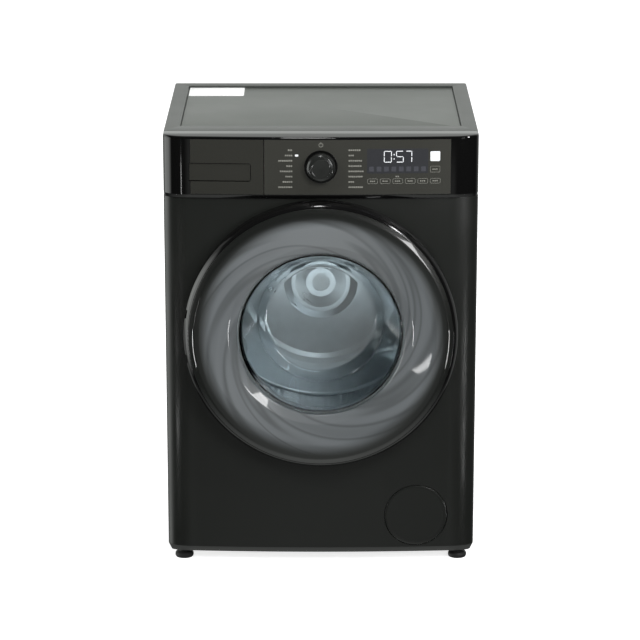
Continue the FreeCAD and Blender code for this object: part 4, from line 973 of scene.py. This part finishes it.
def service_cover():
    """Removable cover over the belt side, with a raised middle and louvres."""
    low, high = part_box("rear_service_cover")

    def spot(x, z, depth):
        return (x, high.y - depth, z)

    levels = [
        (0.016, 0.0012, 0.014), (0.0125, 0.006, 0.018), (0.001, 0.0078, 0.011), (0, 0.008, 0.012),
        (0, 0.0074, 0.012), (0.0008, 0.0068, 0.012), (0.011, 0.0068, 0.018), (0.0125, 0.006, 0.018),
        (0.015, 0.0012, 0.016), (0.0164, 0.0002, 0.015), (0.018, 0, 0.014),
    ]
    cover = pressed("service_cover_plate", upright_span(low, high), levels, spot, "cabinet", "galvanised")
    tools = []
    for number in range(6):
        z = high.z - 0.085 + 0.01 * number - 0.02
        louvre = rounded_rectangle(-0.06, z, 0.06, z + 0.0045, 0.002)
        tools.append(prism_tool(louvre, high.y - 0.006, high.y + 0.01))
    carve(cover, *tools)
    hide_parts("rear_service_cover")


side_panel("left_side_panel", -1)
side_panel("right_side_panel", 1)
rear_panel()
service_cover()


# ---------------- door
def door():
    """Gloss rim with notches for the hinge arms, dished cover round the window, and the glass bowl."""
    front, back, rim, window = DOOR_FRONT, DOOR_BACK, DOOR_RAD, WINDOW_RAD
    corners = [
        (rim - 0.003, back), (rim, back), (rim, front + 0.017, 0.006),
        (rim - 0.0045, front + 0.0095, 0.008), (rim - 0.0093, front + 0.0052, 0.0008),
        (rim - 0.0095, front + 0.008), (rim - 0.003, front + 0.02),
    ]
    ring = turned("door_trim_ring", filleted(corners, 0.0006, 5), "door", "door_trim")
    notches = []
    for low, high in HINGE_SLOTS:
        loop = rounded_rectangle(-0.27, DOOR_Z + low, -0.235, DOOR_Z + high, 0.002)
        notches.append(prism_tool(loop, front + 0.012, back + 0.002))
    carve(ring, *notches)
    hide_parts("door_outer_ring")
    corners = [
        (window, front + 0.026), (window + 0.002, front + 0.024, 0.002),
        (window + 0.016, front + 0.0158, 0.02), (rim - 0.044, front + 0.001, 0.03),
        (rim - 0.03, front, 0.012), (rim - 0.0185, front + 0.001, 0.016),
        (rim - 0.0097, front + 0.0052, 0.0008), (rim - 0.0097, front + 0.008),
        (rim - 0.0185, front + 0.0042), (rim - 0.03, front + 0.0034), (rim - 0.036, front + 0.0046),
        (window + 0.002, front + 0.0275), (window, front + 0.029),
    ]
    cover = turned("door_cover_moulding", filleted(corners, 0.0006, 8), "door", "door_cover", 256)
    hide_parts("door_cover")
    corners = [
        (0.0, -0.15), (0.106, -0.152, 0.012), (0.1215, -0.1665, 0.014), (0.149, -0.245, 0.03),
        (0.1535, front + 0.0292, 0.003), (window + 0.008, front + 0.0292), (window + 0.008, front + 0.0332),
        (window - 0.003, front + 0.0332, 0.003), (0.1545, -0.244, 0.012), (0.1265, -0.1635, 0.012),
        (0.108, -0.147, 0.014), (0.0, -0.145),
    ]
    outline = filleted(corners, 0.0008, 10, closed=False)
    bowl = turned("door_glass_bowl", outline, "door", "door_glass", 192, 60, wrap=False)
    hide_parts("door_bowl")


def door_gasket():
    """Folded rubber bellows between the porthole and the tub."""
    corners = [
        (0.19, -0.249), (0.19, -0.2464), (0.1827, -0.2464), (0.1827, -0.234), (0.1954, -0.228),
        (0.1954, -0.208), (0.1922, -0.208), (0.1922, -0.2245), (0.1799, -0.2305), (0.168, -0.2262, 0.004),
        (0.161, -0.224), (0.161, -0.2272), (0.1685, -0.23, 0.004), (0.1797, -0.236), (0.1797, -0.249),
    ]
    ring = turned("gasket_bellows", filleted(corners, 0.0012, 5), None, "gasket_rubber", 160, 50)
    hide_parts("door_gasket")
    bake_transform(ring)


door()
door_gasket()


# ---------------- drum
def perforated_wall(name, radius, start_y, end_y):
    """Rolled drum wall whose every cell has a round hole, drawn with eight sides."""
    around, along = 120, round((end_y - start_y) / HOLE_PITCH)
    pitch, wide = (end_y - start_y) / along, 2 * pi * radius / around

    def on_wall(turn, y):
        angle = 2 * pi * turn / around
        return (radius * sin(angle), y, DOOR_Z + radius * cos(angle))

    points = [on_wall(cell, start_y + pitch * row) for row in range(along + 1) for cell in range(around)]
    faces = []
    for row in range(along):
        for cell in range(around):
            beside = (cell + 1) % around
            corners = [row * around + cell, row * around + beside]
            corners += [(row + 1) * around + beside, (row + 1) * around + cell]
            ring = []
            for step in range(8):
                angle = pi / 4 * step - 3 * pi / 4
                across, up = HOLE_RAD * cos(angle) / wide, HOLE_RAD * sin(angle)
                ring.append(len(points))
                points.append(on_wall(cell + 0.5 + across, start_y + pitch * (row + 0.5) + up))
            for side in range(4):
                here, there = ring[side * 2], ring[(side * 2 + 2) % 8]
                faces.append((corners[side], corners[(side + 1) % 4], there, ring[side * 2 + 1], here))
    wall = piece(name, points, faces, "drum", "drum_steel", 50)
    change = wall.modifiers.new("gauge", "SOLIDIFY")
    change.thickness = DRUM_GAUGE
    change.offset = -1
    return wall


def drum():
    """Perforated wall between a rolled front rim and a beaded back."""
    front, rear, rad, gauge = DRUM_FRONT, DRUM_REAR, DRUM_RAD, DRUM_GAUGE
    rim_y = front + 0.016
    wall = perforated_wall("drum_wall", rad, rim_y, rear - 0.006)
    rim = [
        (0.185, front + 0.012, 0.0003), (0.1862, front + 0.012, 0.0003), (0.1862, front + 0.005, 0.002),
        (0.19, front + gauge, 0.003), (rad - 0.007, front + 0.0032, 0.006),
        (rad - gauge, front + 0.011, 0.004), (rad - gauge, rim_y + 0.0002, 0.0003),
        (rad, rim_y + 0.0002, 0.0003), (rad, front + 0.01, 0.004), (rad - 0.006, front + 0.002, 0.006),
        (0.19, front, 0.003), (0.185, front + 0.005, 0.003),
    ]
    turned("drum_front_rim", filleted(rim, 0.001, 5), "drum", "drum_steel", 160, 50)
    back = [
        (0.018, rear - gauge, 0.0003), (0.03, rear - gauge, 0.002), (0.052, rear - 0.006, 0.004),
        (0.06, rear - 0.006, 0.003), (0.075, rear - gauge, 0.004), (0.15, rear - gauge, 0.004),
        (0.16, rear - 0.005, 0.004), (0.172, rear - 0.005, 0.004), (0.182, rear - gauge, 0.004),
        (rad - 0.006, rear - gauge, 0.004), (rad - gauge, rear - 0.0062, 0.0003),
        (rad, rear - 0.0062, 0.0003), (rad - 0.004, rear, 0.004), (0.182, rear, 0.003),
        (0.018, rear, 0.0003),
    ]
    turned("drum_back", filleted(back, 0.001, 5), "drum", "drum_steel", 160, 50)
    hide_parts("drum_shell")


def drum_lifters():
    """Three ridges with a rounded crown that fades out at both ends."""
    low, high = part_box("drum_lifters")
    foot, crown, rows = 0.2375, 0.176, 28
    for number in range(3):
        turn = 2 * pi * number / 3
        loops = []
        for row in range(rows + 1):
            part = row / rows
            lift = sin(pi * part) ** 0.38 if 0 < part < 1 else 0
            top = foot - 0.004 - (foot - crown - 0.004) * lift
            waist = 0.017 + 0.004 * sin(pi * part)
            shoulder = foot * 0.45 + top * 0.55
            half = [
                (0.006, top), (waist * 0.55, top + 0.003), (waist + 0.004, shoulder), (0.031, foot - 0.006),
                (0.034, foot),
            ]
            section = [(-across, radius) for across, radius in reversed(half)] + half
            loop = []
            for across, radius in filleted(section, 0.006, 3):
                x = across * cos(turn) + radius * sin(turn)
                z = radius * cos(turn) - across * sin(turn)
                loop.append((x, low.y + (high.y - low.y) * part, DOOR_Z + z))
            loops.append(loop)
        loft(f"drum_lifter_{number}", loops, "drum", "lifter", crease=60)
    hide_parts("drum_lifters")


drum()
drum_lifters()


# ---------------- springs and hoses
def swept(name, route, radius, body, slot, sides=8):
    """Round wire or hose along a route that is nowhere upright."""
    points = []
    for number, spot in enumerate(route):
        ahead = route[min(number + 1, len(route) - 1)]
        behind = route[max(number - 1, 0)]
        along = (ahead - behind).normalized()
        side = along.cross(Vector((0, 0.02, 1))).normalized()
        up = side.cross(along)
        for step in range(sides):
            angle = 2 * pi * step / sides
            points.append(spot + side * radius * cos(angle) + up * radius * sin(angle))
    return piece(name, points, tube_faces(len(route), sides), body, slot, 60)


def bent_route(corners, share=0.45, steps=8):
    """Straight runs joined by smooth bends."""
    corners = [Vector(corner) for corner in corners]
    route = [corners[0]]
    for before, corner, after in zip(corners, corners[1:], corners[2:]):
        reach = share * min((corner - before).length, (after - corner).length)
        enter = corner + (before - corner).normalized() * reach
        route += bend(enter, corner, corner + (after - corner).normalized() * reach, steps)
    return route + [corners[-1]]


def spring_route(x, y, low_z, high_z, coil_rad, turns):
    """Line of a tension spring with a hook at each end, wound round an upright axis."""
    hook, around = coil_rad * 0.9, 24

    def hook_line(middle_z, start):
        angles = [pi * (start + step / 8) for step in range(9)]
        return [Vector((x + hook * cos(a) * 0.6, y, middle_z + hook * sin(a))) for a in angles]

    route = hook_line(low_z + hook, 0.5)[::-1]
    body_low, body_high = low_z + 2.2 * hook, high_z - 2.2 * hook
    for step in range(turns * around + 1):
        angle = 2 * pi * step / around
        height = body_low + (body_high - body_low) * step / (turns * around)
        route.append(Vector((x + coil_rad * sin(angle), y + coil_rad * cos(angle), height)))
    return route + hook_line(high_z - hook, -0.5)


def springs():
    low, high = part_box("suspension_springs")
    middle_y = middle(low, high)[1]
    for side, x in (("left", low.x + 0.011), ("right", high.x - 0.011)):
        route = spring_route(x, middle_y, low.z, high.z, 0.0092, 26)
        coil = swept(f"spring_{side}", route, 0.0016, None, "spring_steel")
        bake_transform(coil)
    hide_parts("suspension_springs")


def dispenser_hoses():
    """Inlet hose from the valve to the dispenser, and the bellows from the dispenser down to the tub."""
    corners = [
        (-0.2, 0.2208, 0.78), (-0.2, 0.16, 0.78), (-0.16, 0.09, 0.795), (-0.2, 0.055, 0.79),
        (-0.2, 0.0062, 0.79),
    ]
    swept("inlet_hose", bent_route(corners), 0.008, "cabinet", "hose_rubber", 16)
    low, high, centre_x, centre_y, steps, folds = 0.6875, 0.7215, -0.175, -0.06, 40, 4
    rings = []
    for step in range(steps + 1):
        wave = cos(2 * pi * folds * step / steps)
        rings.append((0.0227 + 0.0012 * wave, low + (high - low) * step / steps))
    rings += [(0.0202, high), (0.0202, low)]
    loops = [[(x, y, z) for x, y in circle(centre_x, centre_y, radius, 48)] for radius, z in rings]
    bellows = loft("dispenser_bellows", loops, None, "hose_rubber", wrap=True, caps=False, crease=60)
    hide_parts("dispenser_hoses")
    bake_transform(bellows)


springs()
dispenser_hoses()


# ---------------- levelling feet
def levelling_foot(name):
    """Rubber pad, a collar above it, and the threaded stud."""
    low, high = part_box(name)
    x, y = middle(low, high)[:2]
    radius, stud, pitch = (high.x - low.x) / 2, 0.005, 0.0012
    root = stud - 0.0006
    sections = [
        (radius - 0.003, 0), (radius - 0.001, 0.0008), (radius, 0.003), (radius, 0.007),
        (radius - 0.0015, 0.0095), (0.0125, 0.012), (0.0118, 0.0125), (0.0118, 0.0185), (0.0105, 0.0195),
        (0.0052, 0.0198), (stud, 0.021),
    ]
    level = 0.021
    while level < high.z - low.z - pitch:
        sections += [(stud, level), (root, level + pitch / 2)]
        level += pitch
    sections.append((root, high.z - low.z))
    loops = [[(a, b, low.z + z) for a, b in circle(x, y, size, 64)] for size, z in sections]
    foot = loft(name + "_pad", loops, name, "foot_rubber", crease=40)
    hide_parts(name)


for place in ("front_left", "front_right", "rear_left", "rear_right"):
    levelling_foot("foot_" + place)


# ---------------- floor, light and camera
def stage_floor():
    """White paper floor, hidden from gloss and from soft light so that it doesn't lighten the dark case."""
    size = 30
    data = bpy.data.meshes.new("floor")
    corners = [(-size, -size, 0), (size, -size, 0), (size, size, 0), (-size, size, 0)]
    data.from_pydata(corners, [], [(0, 1, 2, 3)])
    floor = bpy.data.objects.new("floor", data)
    material, tree, shader = new_material("floor_paper", Roughness=0.9, Emission_Strength=0.82)
    paper = blend_colours(tree, noise(tree, 2), (0.9, 0.9, 0.9), (0.93, 0.93, 0.93))
    put(tree, shader.inputs["Base Color"], paper)
    put(tree, shader.inputs["Emission Color"], paper)
    data.materials.append(material)
    scene.collection.objects.link(floor)
    floor.visible_glossy = False
    floor.visible_diffuse = False


BACKDROP, AMBIENT, BEHIND, APRON = 1.1, 0.42, 1.05, 0.32


def studio_air():
    """White backdrop for the eye, even glow for matt surfaces, and a wall and soft patches for gloss."""
    world = bpy.data.worlds.new("studio")
    scene.world = world
    world.use_nodes = True
    tree = world.node_tree
    tree.nodes.clear()
    way = node(tree, "TexCoord").outputs["Generated"]
    x, y, z = node(tree, "SeparateXYZ", {0: way}).outputs
    rightward, downward = spread(tree, x, 0.6, 0.9, 1.0, 0.6), spread(tree, z, -0.5, 0.0, 0.25, 1.0)
    backlight = times(tree, spread(tree, y, 0.15, 0.6, 0.0, BEHIND), rightward, downward)
    narrow = spread(tree, calc(tree, "ABSOLUTE", x), 0.1, 0.28, 1.0, 0.02)
    low, forward = spread(tree, z, -0.02, -0.22, 0.0, APRON), spread(tree, y, -0.2, -0.6, 0.0, 1.0)
    apron = times(tree, low, narrow, forward)
    under, side = spread(tree, z, -0.55, -0.85, 0.008, 0.55), spread(tree, x, -0.84, -0.95, 0.0, 2.8)
    level = plus(tree, plus(tree, backlight, apron), plus(tree, under, side))
    shades = []
    for colour, strength in (((0.97, 1.0, 0.97), level), ((1, 1, 1), AMBIENT), ((1, 1, 1), BACKDROP)):
        shades.append(node(tree, "Background", {"Color": colour, "Strength": strength}).outputs[0])
    mirrored, glow, backdrop = shades
    ray = node(tree, "LightPath").outputs
    matt = choose_shader(tree, ray["Is Diffuse Ray"], mirrored, glow)
    node(tree, "OutputWorld", {0: choose_shader(tree, ray["Is Camera Ray"], matt, backdrop)})


# Name, place, what it points at, width, height, watts, and whether it shows in the gloss.
LAMPS = (
    ("front_fill", (0.7, -2.0, 2.1), (0.05, -0.25, 0.75), 1.4, 1.0, 36, False),
    ("key_left", (-1.7, -1.5, 2.3), (0, -0.2, 0.5), 0.3, 0.3, 16, False),
    ("key_right", (1.9, -1.3, 2.3), (0, -0.2, 0.6), 0.16, 0.6, 18, True),
    ("wall_right", (1.55, -2.25, 1.25), (0.28, -0.25, 0.5), 0.5, 0.8, 15, True),
    ("strip_left", (-1.35, -2.5, 0.08), (-0.27, -0.25, 0.1), 0.05, 0.34, 0.6, True),
    ("glint_left", (-1.6, -1.9, -0.28), (0, -0.2, 0.45), 0.1, 0.5, 8, True),
    ("glint_right", (1.6, -1.9, -0.28), (0, -0.2, 0.45), 0.1, 0.5, 8, True),
    ("top_lamp", (-0.06, -0.9, 3.0), (0, -0.25, 0.8), 0.2, 0.2, 7, True),
    ("back_fill", (0.4, 3.2, 2.4), (0, 0, 0.4), 2.2, 1.4, 60, False),
)


def lamps():
    """Rectangular lamps round the machine."""
    for name, spot, target, wide, tall, power, mirrored in LAMPS:
        data = bpy.data.lights.new(name, "AREA")
        data.shape = "RECTANGLE"
        data.size, data.size_y = wide, tall
        data.energy = power
        lamp = bpy.data.objects.new(name, data)
        scene.collection.objects.link(lamp)
        lamp.location = spot
        lamp.rotation_euler = (Vector(target) - Vector(spot)).to_track_quat("-Z", "Y").to_euler()
        lamp.visible_glossy = mirrored


EYE = (-0.0016, FACE_Y - 5.28, 1.97)
PITCH, LENS = 15.63, 161.6


def camera():
    """Standing eye in front of the machine, looking a little down."""
    data = bpy.data.cameras.new("camera")
    data.sensor_width = 36
    data.lens = LENS
    data.clip_end = 100
    made = bpy.data.objects.new("camera", data)
    made.location = EYE
    made.rotation_euler = (radians(90 - PITCH), 0, 0)
    scene.collection.objects.link(made)
    scene.camera = made


stage_floor()
studio_air()
lamps()
camera()
scene.view_settings.view_transform = "Standard"
